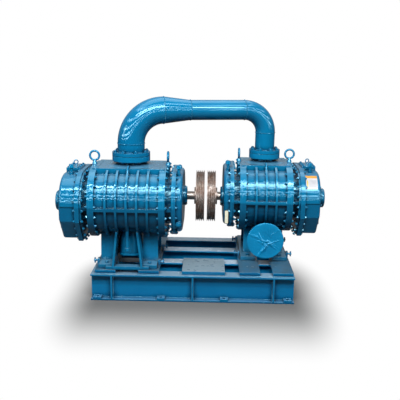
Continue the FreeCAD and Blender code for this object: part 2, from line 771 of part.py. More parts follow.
def side_plates(stage):
    """The two end walls of the casing: deep waist between two rims, a web half way up, and an eye lug."""
    inset = dim.plate_waist
    waist = rounded(barrel_half - inset, barrel_top - inset, dim.corner_radius - inset)
    gear_rim = case_outline(dim.gear_rim_reach)
    for end, name, outline in ((-1, "_drive_side_plate", rim_outline), (1, "_gear_side_plate", gear_rim)):
        low = -dim.plate_thick if end < 0 else stage["length"]
        far = low if end < 0 else low + dim.plate_thick - dim.plate_rim
        near = low + dim.plate_thick - dim.plate_rim if end < 0 else low
        lug = low + dim.plate_thick - dim.lug_length if end < 0 else low
        pieces = [
            prism(waist, dim.plate_thick, (low, 0, 0)),
            prism(flange_outline, dim.plate_rim, (near, 0, 0)),
            prism(outline, dim.plate_rim, (far, 0, 0)),
            box((low, -barrel_half, stage["girdle"] - dim.girdle_thick / 2),
                (dim.plate_thick, barrel_half * 2, dim.girdle_thick)),
            box((lug, -dim.lug_width / 2, 0), (dim.lug_length, dim.lug_width, barrel_top + dim.flange_reach)),
        ]
        seat = low if end < 0 else low + dim.plate_thick - dim.bearing_width
        holes = []
        for side in (-1, 1):
            y = side * half_distance
            holes.append(cylinder(dim.shaft_radius + dim.shaft_clear, dim.plate_thick, (low, y, 0), ALONG_X))
            holes.append(cylinder(dim.bearing_radius, dim.bearing_width, (seat, y, 0), ALONG_X))
        keep(stage["name"] + name, cut(fuse(pieces), holes), stage)


def bearings(stage):
    """Four bearings in their seats in the side plates."""
    ring = Part.makeCylinder(dim.bearing_radius.value, dim.bearing_width.value, Vector(), Vector(1, 0, 0))
    ring = ring.cut(Part.makeCylinder(
        (dim.shaft_radius + dim.running_gap).value, dim.bearing_width.value, Vector(), Vector(1, 0, 0)
    ))
    shapes = []
    for low in (-dim.plate_thick, stage["length"] + dim.plate_thick - dim.bearing_width):
        for side in (-1, 1):
            copy = ring.copy()
            copy.translate(Vector(low.value, (side * half_distance).value, 0))
            shapes.append(copy)
    group(stage["name"] + "_bearings", shapes, stage)


def softened(shell, face, radius):
    """A drawn-out shell with the edges of one end face rounded."""
    doc.recompute()
    edges = [
        index for index, edge in enumerate(shell.Shape.Edges, start=1)
        if abs(edge.BoundBox.XMin - face.value) < 0.01 and abs(edge.BoundBox.XMax - face.value) < 0.01
    ]
    soft = doc.addObject("Part::Fillet", "soft_edge")
    soft.Base = shell
    soft.Edges = [(index, radius.value, radius.value) for index in edges]
    return soft


def gear_case(stage):
    """The hollow gear case with its flange, sump and hatch seat."""
    low = stage["length"] + dim.plate_thick
    shell = prism(case_outline(measure(0)), dim.gear_depth, (low, 0, 0))
    drain_y = stage["front"] * dim.drain_side - dim.drain_boss / 2
    outer = half_distance + gear_radius
    root = dim.pad_root
    step_size = (dim.gear_depth, dim.case_step * 2, dim.sump_depth)
    steps = [
        box((low + dim.gear_flange, edge, -dim.sump_depth), step_size)
        for edge in (-outer - dim.case_step, outer - dim.case_step)
    ]
    pieces = [
        cut(softened(shell, low + dim.gear_depth, dim.case_round), steps),
        box((low + dim.gear_depth - root, drain_y, -dim.drain_drop - dim.drain_boss / 2),
            (dim.drain_rise + root, dim.drain_boss, dim.drain_boss)),
        prism(case_outline(dim.gear_flange_reach), dim.gear_flange, (low, 0, 0)),
        box((low + dim.gear_flange, -dim.hatch_width / 2, gear_radius - root),
            (dim.hatch_length, dim.hatch_width, dim.hatch_rise + root)),
        cylinder(dim.boss_radius, dim.boss_rise + root,
                 (low + dim.gear_flange + dim.hatch_length / 2, breather_y(stage), gear_radius - root)),
    ]
    hollow = prism(case_outline(-dim.case_wall), dim.gear_depth - dim.case_wall, (low, 0, 0))
    keep(stage["name"] + "_gear_case", cut(fuse(pieces), [hollow]), stage)
    hatch = box((0, 0, 0), (dim.hatch_length, dim.hatch_width, dim.hatch_thick))
    hatch_corner = (low + dim.gear_flange, -dim.hatch_width / 2, gear_radius + dim.hatch_rise)
    keep_along(stage["name"] + "_hatch", hatch, stage, hatch_corner, UPRIGHT)
    end = low + dim.gear_depth
    profile = [
        (0, 0), (dim.end_cap_radius, 0), (dim.end_cap_radius, dim.end_cap_foot),
        (dim.end_cap_neck, dim.end_cap_foot), (dim.end_cap_neck, dim.end_cap_depth - dim.end_cap_bevel),
        (dim.end_cap_neck - dim.end_cap_bevel, dim.end_cap_depth), (0, dim.end_cap_depth),
    ]
    for side, name in ((-1, "_drive_end_cap"), (1, "_idle_end_cap")):
        keep_along(stage["name"] + name, turned(profile), stage, (end, side * half_distance, 0))


def breather_y(stage):
    """A breather stands on the front shoulder of its case."""
    return stage["front"] * (half_distance + dim.boss_shift)


def drive_cover(stage):
    """The hollow cover on the drive end, with the shaft seal cap, oil gauge and drain plug."""
    shell = prism(rounded(cover_half, cover_top, cover_corner), dim.cover_depth, (-cover_face, 0, 0))
    wall = dim.case_wall
    hollow = prism(
        rounded(cover_half - wall, cover_top - wall, cover_corner - wall),
        dim.cover_depth - wall * 2, (-cover_face + wall * 2, 0, 0),
    )
    middle = -cover_face + dim.cover_depth / 2
    pad_middle = -cover_face + (dim.cover_depth - dim.cover_rim) / 2
    gauge_x = pad_middle - dim.gauge_width / 2
    gauge_z = -dim.gauge_drop - dim.gauge_height / 2
    plug_middle = -dim.gauge_drop
    shell = fuse([
        softened(shell, -cover_face, dim.cover_round),
        prism(rim_outline, dim.cover_rim, (-dim.plate_thick - dim.cover_rim, 0, 0)),
        cylinder(dim.boss_radius, dim.boss_rise + dim.pad_root,
                 (middle, breather_y(stage), cover_top - dim.pad_root)),
        box((gauge_x, -cover_half - dim.pad_stand, gauge_z),
            (dim.gauge_width, dim.boss_depth, dim.gauge_height)),
        cylinder(dim.plug_boss, dim.boss_depth + dim.pad_stand,
                 (pad_middle, cover_half - dim.boss_depth, plug_middle), ALONG_Y),
    ])
    passage = dim.shaft_radius + dim.shaft_clear
    opening = cylinder(passage, wall * 2, (-cover_face, -half_distance, 0), ALONG_X)
    keep(stage["name"] + "_drive_cover", cut(shell, [hollow, opening]), stage)
    gauge = box((0, 0, 0), (dim.gauge_width, dim.gauge_thick, dim.gauge_height))
    gauge_corner = (gauge_x, -cover_half - dim.pad_stand - dim.gauge_thick, gauge_z)
    keep_along(stage["name"] + "_oil_gauge", gauge, stage, gauge_corner, UPRIGHT)
    plug = [
        (0, 0), (dim.plug_radius, 0), (dim.plug_radius, dim.plug_thick / 2),
        (dim.plug_neck, dim.plug_thick / 2), (dim.plug_neck, dim.plug_thick), (0, dim.plug_thick),
    ]
    plug_corner = (pad_middle, cover_half + dim.pad_stand, plug_middle)
    keep_along(stage["name"] + "_level_plug", turned(plug), stage, plug_corner, ALONG_Y)
    inner = dim.shaft_radius + dim.running_gap
    seal = [
        (inner, 0), (dim.seal_cap_radius, 0), (dim.seal_cap_radius, dim.seal_cap_depth / 2),
        (dim.seal_cap_nose, dim.seal_cap_depth), (inner, dim.seal_cap_depth),
    ]
    back = FreeCAD.Rotation(Vector(0, 1, 0), -90)
    keep_along(stage["name"] + "_seal_cap", turned(seal), stage, (-cover_face, -half_distance, 0), back)


def shafts_and_rotors(stage):
    """Both shafts with their rotors and timing gears, in mesh."""
    length = stage["length"]
    gear_at = length + dim.plate_thick + dim.gear_stand
    far = gear_at + dim.gear_face + dim.shaft_end
    for side, name, near, turn in (
        (-1, "_drive", stage["reach"], 0),
        (1, "_idle", dim.plate_thick + dim.idle_end, 180 / int(dim.tooth_count.value)),
    ):
        bar = cylinder(dim.shaft_radius, near + far, (0, 0, 0))
        keep_along(stage["name"] + name + "_shaft", bar, stage, (-near, side * half_distance, 0))
        lobes = rotor_shape((length - dim.rotor_gap * 2).value)
        rotor_at = (dim.rotor_gap, side * half_distance, 0)
        keep_along(stage["name"] + name + "_rotor", plain("rotor", lobes), stage, rotor_at)
        gear = plain("gear", gear_shape(turn))
        keep_along(stage["name"] + name + "_gear", gear, stage, (gear_at, side * half_distance, 0))


def pulley(stage):
    """The grooved belt pulley on the drive shaft's end, its hub towards the blower."""
    width = dim.pulley_width
    side = (width - dim.groove_pitch * 3) / 2
    rim = [(dim.pulley_radius, width)]
    for groove in range(3, -1, -1):
        middle = side + dim.groove_pitch * groove
        rim.append((dim.pulley_radius, middle + dim.groove_mouth / 2))
        rim.append((dim.pulley_radius - dim.groove_depth, middle + dim.groove_floor / 2))
        rim.append((dim.pulley_radius - dim.groove_depth, middle - dim.groove_floor / 2))
        rim.append((dim.pulley_radius, middle - dim.groove_mouth / 2))
    inner = dim.pulley_radius - dim.pulley_rim
    web_low = (width - dim.pulley_web) / 2
    web_high = (width + dim.pulley_web) / 2
    far = width + dim.hub_reach
    profile = [
        (dim.shaft_radius, 0), (dim.hub_radius, 0), (dim.hub_radius, web_low),
        (inner, web_low), (inner, 0), (dim.pulley_radius, 0),
    ]
    profile += list(reversed(rim))
    profile += [
        (inner, width), (inner, web_high), (dim.hub_radius, web_high),
        (dim.hub_radius, far), (dim.shaft_radius, far),
    ]
    keep_along(stage["name"] + "_pulley", turned(profile), stage, (-stage["reach"], -half_distance, 0))


def port_joint(stage):
    """Gasket, bolts and the lifting eyes on top of one stage."""
    middle = stage["length"] / 2
    duct = stage["pipe"] - dim.pipe_wall
    outer = stage["bolts"] - bolt_hole - dim.nut_clear
    gasket = [(duct, 0), (outer, 0), (outer, dim.gasket_thick), (duct, dim.gasket_thick)]
    keep_along(stage["name"] + "_gasket", turned(gasket), stage, (middle, 0, dim.port_top), UPRIGHT)
    grip = (dim.port_flange + dim.gasket_thick + dim.pipe_flange).value
    shapes = []
    for spot in ring_spots(stage["bolts"].value, 8, 22.5):
        bolt = through_bolt(grip)
        bolt.translate(spot + Vector(middle.value, 0, port_low.value))
        shapes.append(bolt)
    group(stage["name"] + "_port_bolts", shapes, stage)


def eyes_and_breathers(stage):
    """Lifting eyes on the casing's end flanges, and a small eye and a breather on each oil case."""
    shapes = []
    seat = (barrel_top + dim.flange_reach).value
    for x, turn in ((-dim.lug_length / 2, 90), (stage["length"] + dim.lug_length / 2, 0)):
        sizes = [part.value for part in (dim.eye_radius, dim.eye_bar, dim.eye_collar, dim.eye_rise)]
        ring = eye(*sizes, turn)
        ring.translate(Vector(x.value, 0, seat))
        shapes.append(ring)
    group(stage["name"] + "_lifting_eyes", shapes, stage)
    hatch_middle = stage["length"] + dim.plate_thick + dim.gear_flange + dim.hatch_length / 2
    hatch_top = gear_radius + dim.hatch_rise + dim.hatch_thick
    cover_middle = -cover_face + dim.cover_depth / 2
    shapes = []
    for x, z in ((hatch_middle, hatch_top), (cover_middle, cover_top)):
        bar = dim.small_eye_bar
        sizes = [part.value for part in (dim.small_eye_radius, bar, bar * 2, dim.small_eye_rise)]
        ring = eye(*sizes, 20)
        ring.translate(Vector(x.value, 0, z.value))
        shapes.append(ring)
    group(stage["name"] + "_cover_eyes", shapes, stage)
    shapes = []
    for x, top in ((hatch_middle, gear_radius), (cover_middle, cover_top)):
        stem = Part.makeCylinder(dim.breather_stem.value, dim.breather_height.value)
        cap = Part.makeCone(dim.breather_radius.value, dim.breather_crown.value, dim.breather_cap.value)
        cap.translate(Vector(0, 0, (dim.breather_height - dim.breather_cap).value))
        breather = stem.fuse(cap)
        breather.translate(Vector(x.value, breather_y(stage).value, (top + dim.boss_rise).value))
        shapes.append(breather)
    group(stage["name"] + "_breathers", shapes, stage)


def foot_bolts(stage):
    """The bolts that hold the feet to the deck plates."""
    middle = stage["length"] / 2
    shapes = []
    for side in (-1, 1):
        for edge in (-1, 1):
            x = middle + side * stage["foot_pitch"] / 2
            bolt = cap_screw((dim.sole_thick + dim.deck_thick - dim.bolt_short).value)
            seat_at = [part.value for part in (x, edge * dim.foot_bolt_reach, dim.sole_thick - foot_drop)]
            bolt.translate(Vector(*seat_at))
            shapes.append(bolt)
    group(stage["name"] + "_foot_bolts", shapes, stage)


def deck_plates(stage):
    """Two plates across the base under the feet of one stage, with the screws that set the feet."""
    middle = stage["length"] / 2
    floor = -foot_drop - dim.deck_thick
    jack_z = dim.jack_height - foot_drop
    plates = []
    for side in (-1, 1):
        x = middle + side * stage["foot_pitch"] / 2
        outer = x + side * dim.deck_width / 2
        lug_low = outer - dim.jack_lug if side > 0 else outer
        screw_ends = (x + side * dim.sole_length / 2, outer + side * dim.jack_out)
        start, finish = screw_ends if side > 0 else reversed(screw_ends)
        bar_x = screw_ends[1] - dim.jack_screw * side
        pieces = [box((x - dim.deck_width / 2, -dim.deck_length / 2 - half_distance, floor),
                      (dim.deck_width, dim.deck_length, dim.deck_thick))]
        holes = []
        for edge in (-1, 1):
            holes.append(cylinder(bolt_hole, dim.deck_thick, (x, edge * dim.foot_bolt_reach, floor)))
            y = edge * dim.jack_reach
            pieces.append(box((lug_low, y - dim.jack_lug_width / 2, floor),
                              (dim.jack_lug, dim.jack_lug_width, dim.deck_thick + dim.jack_lug_rise)))
            pieces.append(cylinder(dim.jack_screw, finish - start, (start, y, jack_z), ALONG_X))
            bar_low = (bar_x, y, jack_z - dim.jack_bar_length / 2)
            pieces.append(cylinder(dim.jack_bar, dim.jack_bar_length, bar_low))
        plates.append(cut(fuse(pieces), holes))
    both = doc.addObject("Part::Compound", "plates")
    both.Links = plates
    keep(stage["name"] + "_deck_plates", both, stage)


def port_film(stage):
    """The plastic film that closes the stage's open port for transport."""
    gap = dim.film_gap
    middle = stage["length"] / 2
    if stage is FIRST:
        shells = [
            prism(duct_outline(grow), dim.film_skirt + grow, (middle, 0, -dim.inlet_drop - grow), UPRIGHT)
            for grow in (gap + dim.film_thick, gap)
        ]
        keep(stage["name"] + "_port_film", cut(shells[0], shells[1:]), stage)
        return
    inner = dim.outlet_flange + gap
    outer = inner + dim.film_thick
    profile = [
        (0, gap), (inner, gap), (inner, -dim.film_skirt),
        (outer, -dim.film_skirt), (outer, gap + dim.film_thick), (0, gap + dim.film_thick),
    ]
    at = (middle, -dim.outlet_reach, -dim.outlet_drop)
    keep_along(stage["name"] + "_port_film", turned(profile), stage, at, FACING_FRONT)


for stage in (FIRST, SECOND):
    casing(stage)
    side_plates(stage)
    bearings(stage)
    gear_case(stage)
    drive_cover(stage)
    shafts_and_rotors(stage)
    pulley(stage)
    port_joint(stage)
    eyes_and_breathers(stage)
    foot_bolts(stage)
    deck_plates(stage)
    port_film(stage)


def beam(low, length, along_x):
    """A rolled beam: two flanges and a web, from its low corner."""
    across = dim.beam_width
    web_low = (across - dim.beam_web) / 2
    x, y = low
    pieces = []
    for z in (0, dim.beam_height - dim.beam_flange):
        size = (length, across, dim.beam_flange) if along_x else (across, length, dim.beam_flange)
        pieces.append(box((x, y, z), size))
    if along_x:
        pieces.append(box((x, y + web_low, 0), (length, dim.beam_web, dim.beam_height)))
    else:
        pieces.append(box((x + web_low, y, 0), (dim.beam_web, length, dim.beam_height)))
    return pieces


for side, name in ((-1, "front_beam"), (1, "rear_beam")):
    half_width = dim.base_width / 2
    low = -half_width if side < 0 else half_width - dim.beam_width
    pieces = beam((-dim.base_length / 2, low), dim.base_length, True)
    outer = (dim.beam_width - dim.beam_web) / 2
    for step in (-1, 0, 1):
        x = step * dim.stiffener_pitch - dim.stiffener_thick / 2
        y = -half_width if side < 0 else half_width - outer
        tall = dim.beam_height - 2 * dim.beam_flange
        pieces.append(box((x, y, dim.beam_flange), (dim.stiffener_thick, outer, tall)))
    holes = []
    for anchor in (-dim.anchor_outer, -dim.anchor_inner, dim.anchor_inner, dim.anchor_outer):
        y = -half_width if side < 0 else half_width - dim.tab_width
        tall = dim.beam_flange + dim.tab_thick
        pieces.append(box((anchor - dim.tab_length / 2, y, 0), (dim.tab_length, dim.tab_width, tall)))
        holes.append(cylinder(dim.anchor_hole, tall, (anchor, y + dim.tab_width / 2, 0)))
    keep(name, cut(fuse(pieces), holes))

beams = []
inner_length = dim.base_length - dim.beam_width * 2
for side in (-1, 1):
    y = side * dim.inner_beam_shift - dim.beam_width / 2
    beams.append(fuse(beam((-inner_length / 2, y), inner_length, True)))
pair = doc.addObject("Part::Compound", "pair")
pair.Links = beams
keep("inner_beams", pair)

beams = []
cross_length = dim.base_width - dim.beam_width * 2
for x in (-dim.base_length / 2, dim.base_length / 2 - dim.beam_width):
    beams.append(fuse(beam((x, -cross_length / 2), cross_length, False)))
pair = doc.addObject("Part::Compound", "pair")
pair.Links = beams
keep("end_beams", pair)

seat_rear = -dim.inner_beam_shift
seat = box((dim.seat_shift - dim.seat_length / 2, seat_rear - dim.seat_width, dim.beam_height),
           (dim.seat_length, dim.seat_width, dim.seat_thick))
keep("seat_plate", seat)


def quarter_bend(radius, foot, axis_point, axis):
    """A quarter elbow as a plain solid, swept from a round face."""
    face = Part.Face(Part.Wire(Part.makeCircle(radius, foot, Vector(0, 0, 1))))
    return face.revolve(axis_point, axis, 90)


def crossover():
    """The pipe from one port to the other: flanges, elbows, straights and a reducer, welded."""
    start = (FIRST["at"][0] - FIRST["length"] / 2).value
    finish = (SECOND["at"][0] + SECOND["length"] / 2).value
    run_x = finish - start
    run_y = (SECOND["at"][1] - FIRST["at"][1]).value
    run = math.hypot(run_x, run_y)
    base = (dim.shaft_height + dim.port_top + dim.gasket_thick).value
    rise = dim.pipe_height.value - base
    solids = []
    for inset in (0, dim.pipe_wall.value):
        first = dim.first_pipe.value - inset
        second = dim.second_pipe.value - inset
        bend_one = dim.first_bend.value
        bend_two = dim.second_bend.value
        reducer = dim.reducer_length.value
        up, along, across = Vector(0, 0, 1), Vector(1, 0, 0), Vector(0, 1, 0)
        taper_end = bend_one + reducer
        low_one, low_two = rise - bend_one, rise - bend_two
        solids.append([
            Part.makeCylinder(first, low_one, Vector(), up),
            quarter_bend(first, Vector(0, 0, low_one), Vector(bend_one, 0, low_one), across),
            Part.makeCone(first, second, reducer, Vector(bend_one, 0, rise), along),
            Part.makeCylinder(second, run - bend_two - taper_end, Vector(taper_end, 0, rise), along),
            quarter_bend(second, Vector(run, 0, low_two), Vector(run - bend_two, 0, low_two), -across),
            Part.makeCylinder(second, low_two, Vector(run, 0, 0), up),
        ])
    outside, inside = solids
    for stage, x in ((FIRST, 0), (SECOND, run)):
        outside.append(Part.makeCylinder(stage["port"].value, dim.pipe_flange.value, Vector(x, 0, 0)))
        turn = math.degrees(math.atan2(run_y, run_x))
        for spot in ring_spots(stage["bolts"].value, 8, 22.5 - turn):
            inside.append(Part.makeCylinder(bolt_hole.value, dim.pipe_flange.value, Vector(x, 0, 0) + spot))
    pipe = outside[0].fuse(outside[1:]).cut(inside[0].fuse(inside[1:])).removeSplitter()
    thing = plain("crossover_pipe", pipe)
    thing.Placement = FreeCAD.Placement(
        Vector(start, FIRST["at"][1].value, base),
        FreeCAD.Rotation(Vector(0, 0, 1), math.degrees(math.atan2(run_y, run_x))),
    )
    nodes["crossover_pipe"] = thing


crossover()
doc.recompute()

failed = [item.Name for item in doc.Objects if "Invalid" in item.State or "Error" in item.State]
if failed:
    raise RuntimeError(f"objects not built: {failed}")
for label, thing in nodes.items():
    if thing.Shape.isNull() or not thing.Shape.isValid() or not thing.Shape.Solids:
        raise RuntimeError(f"{label} has no valid solid")

os.makedirs("parts", exist_ok=True)
for label, thing in nodes.items():
    thing.Shape.exportStep(f"parts/{label}.step")
    print(label, len(thing.Shape.Solids), round(thing.Shape.Volume / 1000), "cm3")
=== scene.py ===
import math
import random

import bmesh
import bpy
from mathutils import Matrix, Vector, noise


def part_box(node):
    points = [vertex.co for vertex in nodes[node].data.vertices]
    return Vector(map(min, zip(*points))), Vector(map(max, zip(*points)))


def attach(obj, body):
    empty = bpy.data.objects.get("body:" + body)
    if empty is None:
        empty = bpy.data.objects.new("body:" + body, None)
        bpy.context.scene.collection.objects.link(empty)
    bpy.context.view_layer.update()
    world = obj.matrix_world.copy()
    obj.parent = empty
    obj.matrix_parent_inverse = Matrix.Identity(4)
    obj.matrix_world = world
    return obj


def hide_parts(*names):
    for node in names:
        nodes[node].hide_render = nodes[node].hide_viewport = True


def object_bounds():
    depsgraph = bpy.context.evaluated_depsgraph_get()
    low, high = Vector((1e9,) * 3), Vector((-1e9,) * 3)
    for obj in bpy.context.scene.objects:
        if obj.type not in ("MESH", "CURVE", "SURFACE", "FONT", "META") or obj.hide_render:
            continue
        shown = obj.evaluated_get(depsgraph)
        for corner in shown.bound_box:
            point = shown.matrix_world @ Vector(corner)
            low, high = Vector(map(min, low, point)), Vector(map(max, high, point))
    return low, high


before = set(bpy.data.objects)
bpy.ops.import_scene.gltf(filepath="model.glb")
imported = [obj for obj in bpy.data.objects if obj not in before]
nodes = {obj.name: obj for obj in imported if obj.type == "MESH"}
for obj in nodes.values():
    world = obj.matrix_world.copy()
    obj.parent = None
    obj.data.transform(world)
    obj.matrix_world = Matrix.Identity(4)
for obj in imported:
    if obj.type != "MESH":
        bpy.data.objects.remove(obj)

cad_low, cad_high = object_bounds()

# The picture: a normal lens from the front and a little above, almost square to the shafts.
# Where it stands and how it leans was worked out from the straight edges of the base.
camera_data = bpy.data.cameras.new("photo_camera")
camera_data.sensor_width = 36
camera_data.lens = 53.24
camera_data.clip_start, camera_data.clip_end = 0.1, 60
camera = bpy.data.objects.new("photo_camera", camera_data)
bpy.context.collection.objects.link(camera)
camera_place = (0.0975, -4.5319, 1.734)
camera_turn, camera_dip, camera_roll = map(math.radians, (0.74, 13.38, 0.91))
camera.matrix_world = (
    Matrix.Translation(camera_place)
    @ Matrix.Rotation(camera_turn, 4, "Z")
    @ Matrix.Rotation(math.pi / 2 - camera_dip, 4, "X")
    @ Matrix.Rotation(camera_roll, 4, "Z")
)
scene = bpy.context.scene
scene.camera = camera
scene.view_settings.view_transform = "Standard"

# The surround of the studio: white where the lens looks past the machine. The gloss of the paint
# mirrors a hall that is bright behind the machine and overhead, with rows of windows in front.
def ranged(tree, value, start, end, low=0.0, high=1.0, curve="LINEAR"):
    """A value moved from one range to another and held there."""
    node = tree.nodes.new("ShaderNodeMapRange")
    node.interpolation_type = curve
    for socket, number in zip(("From Min", "From Max", "To Min", "To Max"), (start, end, low, high)):
        node.inputs[socket].default_value = number
    tree.links.new(value, node.inputs["Value"])
    return node.outputs["Result"]


def ramp(tree, value, start, end, low=0.0, high=1.0):
    """The same with soft ends."""
    return ranged(tree, value, start, end, low, high, "SMOOTHSTEP")


def combined(tree, operation, *values):
    """Values or plain numbers in one."""
    node = tree.nodes.new("ShaderNodeMath")
    node.operation = operation
    for socket, part in zip(node.inputs, values):
        if isinstance(part, (int, float)):
            socket.default_value = part
        else:
            tree.links.new(part, socket)
    return node.outputs["Value"]


def product(tree, first, *others):
    """Values multiplied with one another."""
    for part in others:
        first = combined(tree, "MULTIPLY", first, part)
    return first


def noise_of(tree, source, scale, detail, roughness=0.5):
    """A noise over the piece."""
    node = tree.nodes.new("ShaderNodeTexNoise")
    node.inputs["Scale"].default_value = scale
    node.inputs["Detail"].default_value = detail
    node.inputs["Roughness"].default_value = roughness
    tree.links.new(source, node.inputs["Vector"])
    return node.outputs["Fac"]


def blended(tree, factor, first, second):
    """Two shaders mixed by a mask."""
    node = tree.nodes.new("ShaderNodeMixShader")
    for socket, part in zip(node.inputs, (factor, first, second)):
        tree.links.new(part, socket)
    return node.outputs[0]


surround = bpy.data.worlds.new("white_surround")
scene.world = surround
surround.use_nodes = True
tree = surround.node_tree
tree.nodes.clear()
glows = {}
for name, colour in (("sky", (0.9, 0.95, 1.0, 1)), ("white", (1, 1, 1, 1)), ("mirrored", (0.93, 0.97, 1, 1))):
    glows[name] = tree.nodes.new("ShaderNodeBackground")
    glows[name].inputs["Color"].default_value = colour
direction = tree.nodes.new("ShaderNodeTexCoord").outputs["Generated"]
way = tree.nodes.new("ShaderNodeSeparateXYZ")
tree.links.new(direction, way.inputs[0])
tree.links.new(ramp(tree, way.outputs["Y"], 0.0, 0.6, 0.15, 0.5), glows["sky"].inputs["Strength"])
overhead = combined(tree, "MULTIPLY_ADD", way.outputs["Y"], 0.7, way.outputs["Z"])
hall = ramp(tree, overhead, -0.2, 1.0, 0.02, 0.36)
rise = combined(tree, "POWER", combined(tree, "MAXIMUM", way.outputs["Z"], 0.0), 0.6)
rows = ramp(tree, combined(tree, "SINE", product(tree, rise, 30.0)), 0.45, 0.75)
panes = ramp(tree, combined(tree, "SINE", product(tree, way.outputs["X"], 55.0)), -0.6, -0.3, 0.3, 1.0)
clutter = ramp(tree, noise_of(tree, direction, 13.0, 2), 0.36, 0.58, 0.25, 1.0)
in_front = ramp(tree, way.outputs["Y"], 0.05, -0.25)
window_glow = ramp(tree, rise, 0.1, 1.0, 34.0, 12.0)
windows = product(tree, rows, clutter, panes, in_front, window_glow)
tree.links.new(combined(tree, "ADD", hall, windows), glows["mirrored"].inputs["Strength"])
rays = tree.nodes.new("ShaderNodeLightPath")
seen = combined(tree, "MAXIMUM", rays.outputs["Is Camera Ray"], rays.outputs["Is Transmission Ray"])
lit = blended(tree, rays.outputs["Is Glossy Ray"], glows["sky"].outputs[0], glows["mirrored"].outputs[0])
surround_out = tree.nodes.new("ShaderNodeOutputWorld")
tree.links.new(blended(tree, seen, lit, glows["white"].outputs[0]), surround_out.inputs["Surface"])

# The studio floor: matt and dark grey round the base, a painted shadow added to the lamps' own shadow, fading
# by distance to white further off, where the camera sees it.
floor_shape = bmesh.new()
bmesh.ops.create_circle(floor_shape, cap_ends=True, segments=64, radius=30)
floor_mesh = bpy.data.meshes.new("floor")
floor_shape.to_mesh(floor_mesh)
floor_shape.free()
floor = bpy.data.objects.new("floor", floor_mesh)
bpy.context.collection.objects.link(floor)
floor.location.z = cad_low.z - 0.0005
floor_paint = bpy.data.materials.new("floor_with_painted_shadow")
floor_paint.use_nodes = True
tree = floor_paint.node_tree
floor_shader = tree.nodes["Principled BSDF"]
floor_shader.inputs["Base Color"].default_value = (0.13, 0.13, 0.13, 1)
floor_shader.inputs["Roughness"].default_value = 0.9
floor_shader.inputs["Specular IOR Level"].default_value = 0.0
# The painted shadow's offset, the base it spreads from, and how far it reaches to the sides and front.
painted_shadow_shift, base_reach, painted_shadow_span = (-0.02, 0.33, 0), (0.70, 0.20, 1), (0.39, 0.87, 1)
reach = tree.nodes.new("ShaderNodeTexCoord").outputs["Object"]
for operation, numbers in (("ADD", painted_shadow_shift), ("ABSOLUTE", (0, 0, 0)), ("SUBTRACT", base_reach),
                           ("MAXIMUM", (0, 0, 0)), ("DIVIDE", painted_shadow_span), ("LENGTH", (0, 0, 0))):
    step = tree.nodes.new("ShaderNodeVectorMath")
    step.operation = operation
    step.inputs[1].default_value = numbers
    tree.links.new(reach, step.inputs[0])
    reach = step.outputs["Value" if operation == "LENGTH" else "Vector"]
rays = tree.nodes.new("ShaderNodeLightPath")
# Near the base the camera sees the dark grey floor as painted shadow; further off, plain white.
only_seen = product(tree, ramp(tree, reach, 0.0, 1.0), rays.outputs["Is Camera Ray"])
blank = tree.nodes.new("ShaderNodeEmission")
floor_look = blended(tree, only_seen, floor_shader.outputs[0], blank.outputs[0])
tree.links.new(floor_look, tree.nodes["Material Output"].inputs["Surface"])
floor_mesh.materials.append(floor_paint)

# The lamps: a wide soft box above and behind, which throws the shadow to the front, a wide one high
# in front for the upright faces, a narrow strip that draws the highlights, and a small one at the left.
for name, place, aim, size, power, tint in (
    ("overhead_box", (-0.3, 0.5, 3.9), (0, 0, 0.4), (4.4, 1.8), 62, (1, 0.99, 0.95)),
    ("front_box", (0.4, -3.7, 3.9), (0, 0, 0.6), (4.4, 0.8), 245, (0.97, 0.99, 1)),
    ("highlight_strip", (-0.2, -2.3, 3.4), (0, -0.1, 0.7), (3.8, 0.2), 110, (1, 1, 0.96)),
    ("left_box", (-4.4, -1.6, 2.2), (-0.3, 0, 0.6), (1.0, 1.6), 30, (0.95, 0.98, 1)),
):
    lamp_data = bpy.data.lights.new(name, "AREA")
    lamp_data.shape = "RECTANGLE"
    lamp_data.size, lamp_data.size_y = size
    lamp_data.energy = power
    lamp_data.color = tint
    lamp = bpy.data.objects.new(name, lamp_data)
    bpy.context.collection.objects.link(lamp)
    lamp.location = place
    lamp.rotation_mode = "QUATERNION"
    lamp.rotation_quaternion = (Vector(aim) - Vector(place)).to_track_quat("-Z", "Y")


# The welded base: rolled beams along the machine, inside it and across the ends, under one thick
# coat of gloss enamel, lighter at the edges from wear and a painted edge highlight, and with dust and a
# painted grey sheen on top. The inner and rear beams, seen across the open bay, get a copy painted
# brighter and paler as painted light. The castings get the same coat, with painted shade below the shafts.
def coloured(tree, factor, first, second, mode="MIX"):
    """Two colours blended by a mask."""
    node = tree.nodes.new("ShaderNodeMix")
    node.data_type = "RGBA"
    node.blend_type = mode
    for index, part in ((0, factor), (6, first), (7, second)):
        if isinstance(part, (int, float, tuple)):
            node.inputs[index].default_value = part
        else:
            tree.links.new(part, node.inputs[index])
    return node.outputs[2]


def new_group(name, kind, inputs, outputs):
    """An empty node group with its sockets, and its two end nodes."""
    group = bpy.data.node_groups.new(name, kind)
    for end, sockets in (("INPUT", inputs), ("OUTPUT", outputs)):
        for label, value_kind, start in sockets:
            socket = group.interface.new_socket(label, in_out=end, socket_type="NodeSocket" + value_kind)
            if start is not None:
                socket.default_value = start
    return group, group.nodes.new("NodeGroupInput"), group.nodes.new("NodeGroupOutput")


def upright_part(tree, source):
    """The height of a place, or how far a direction points up."""
    node = tree.nodes.new("ShaderNodeSeparateXYZ")
    tree.links.new(source, node.inputs[0])
    return node.outputs["Z"]


def relief_of(tree, height, strength, distance):
    """The slopes of a fine relief."""
    node = tree.nodes.new("ShaderNodeBump")
    node.inputs["Strength"].default_value = strength
    node.inputs["Distance"].default_value = distance
    tree.links.new(height, node.inputs["Height"])
    return node


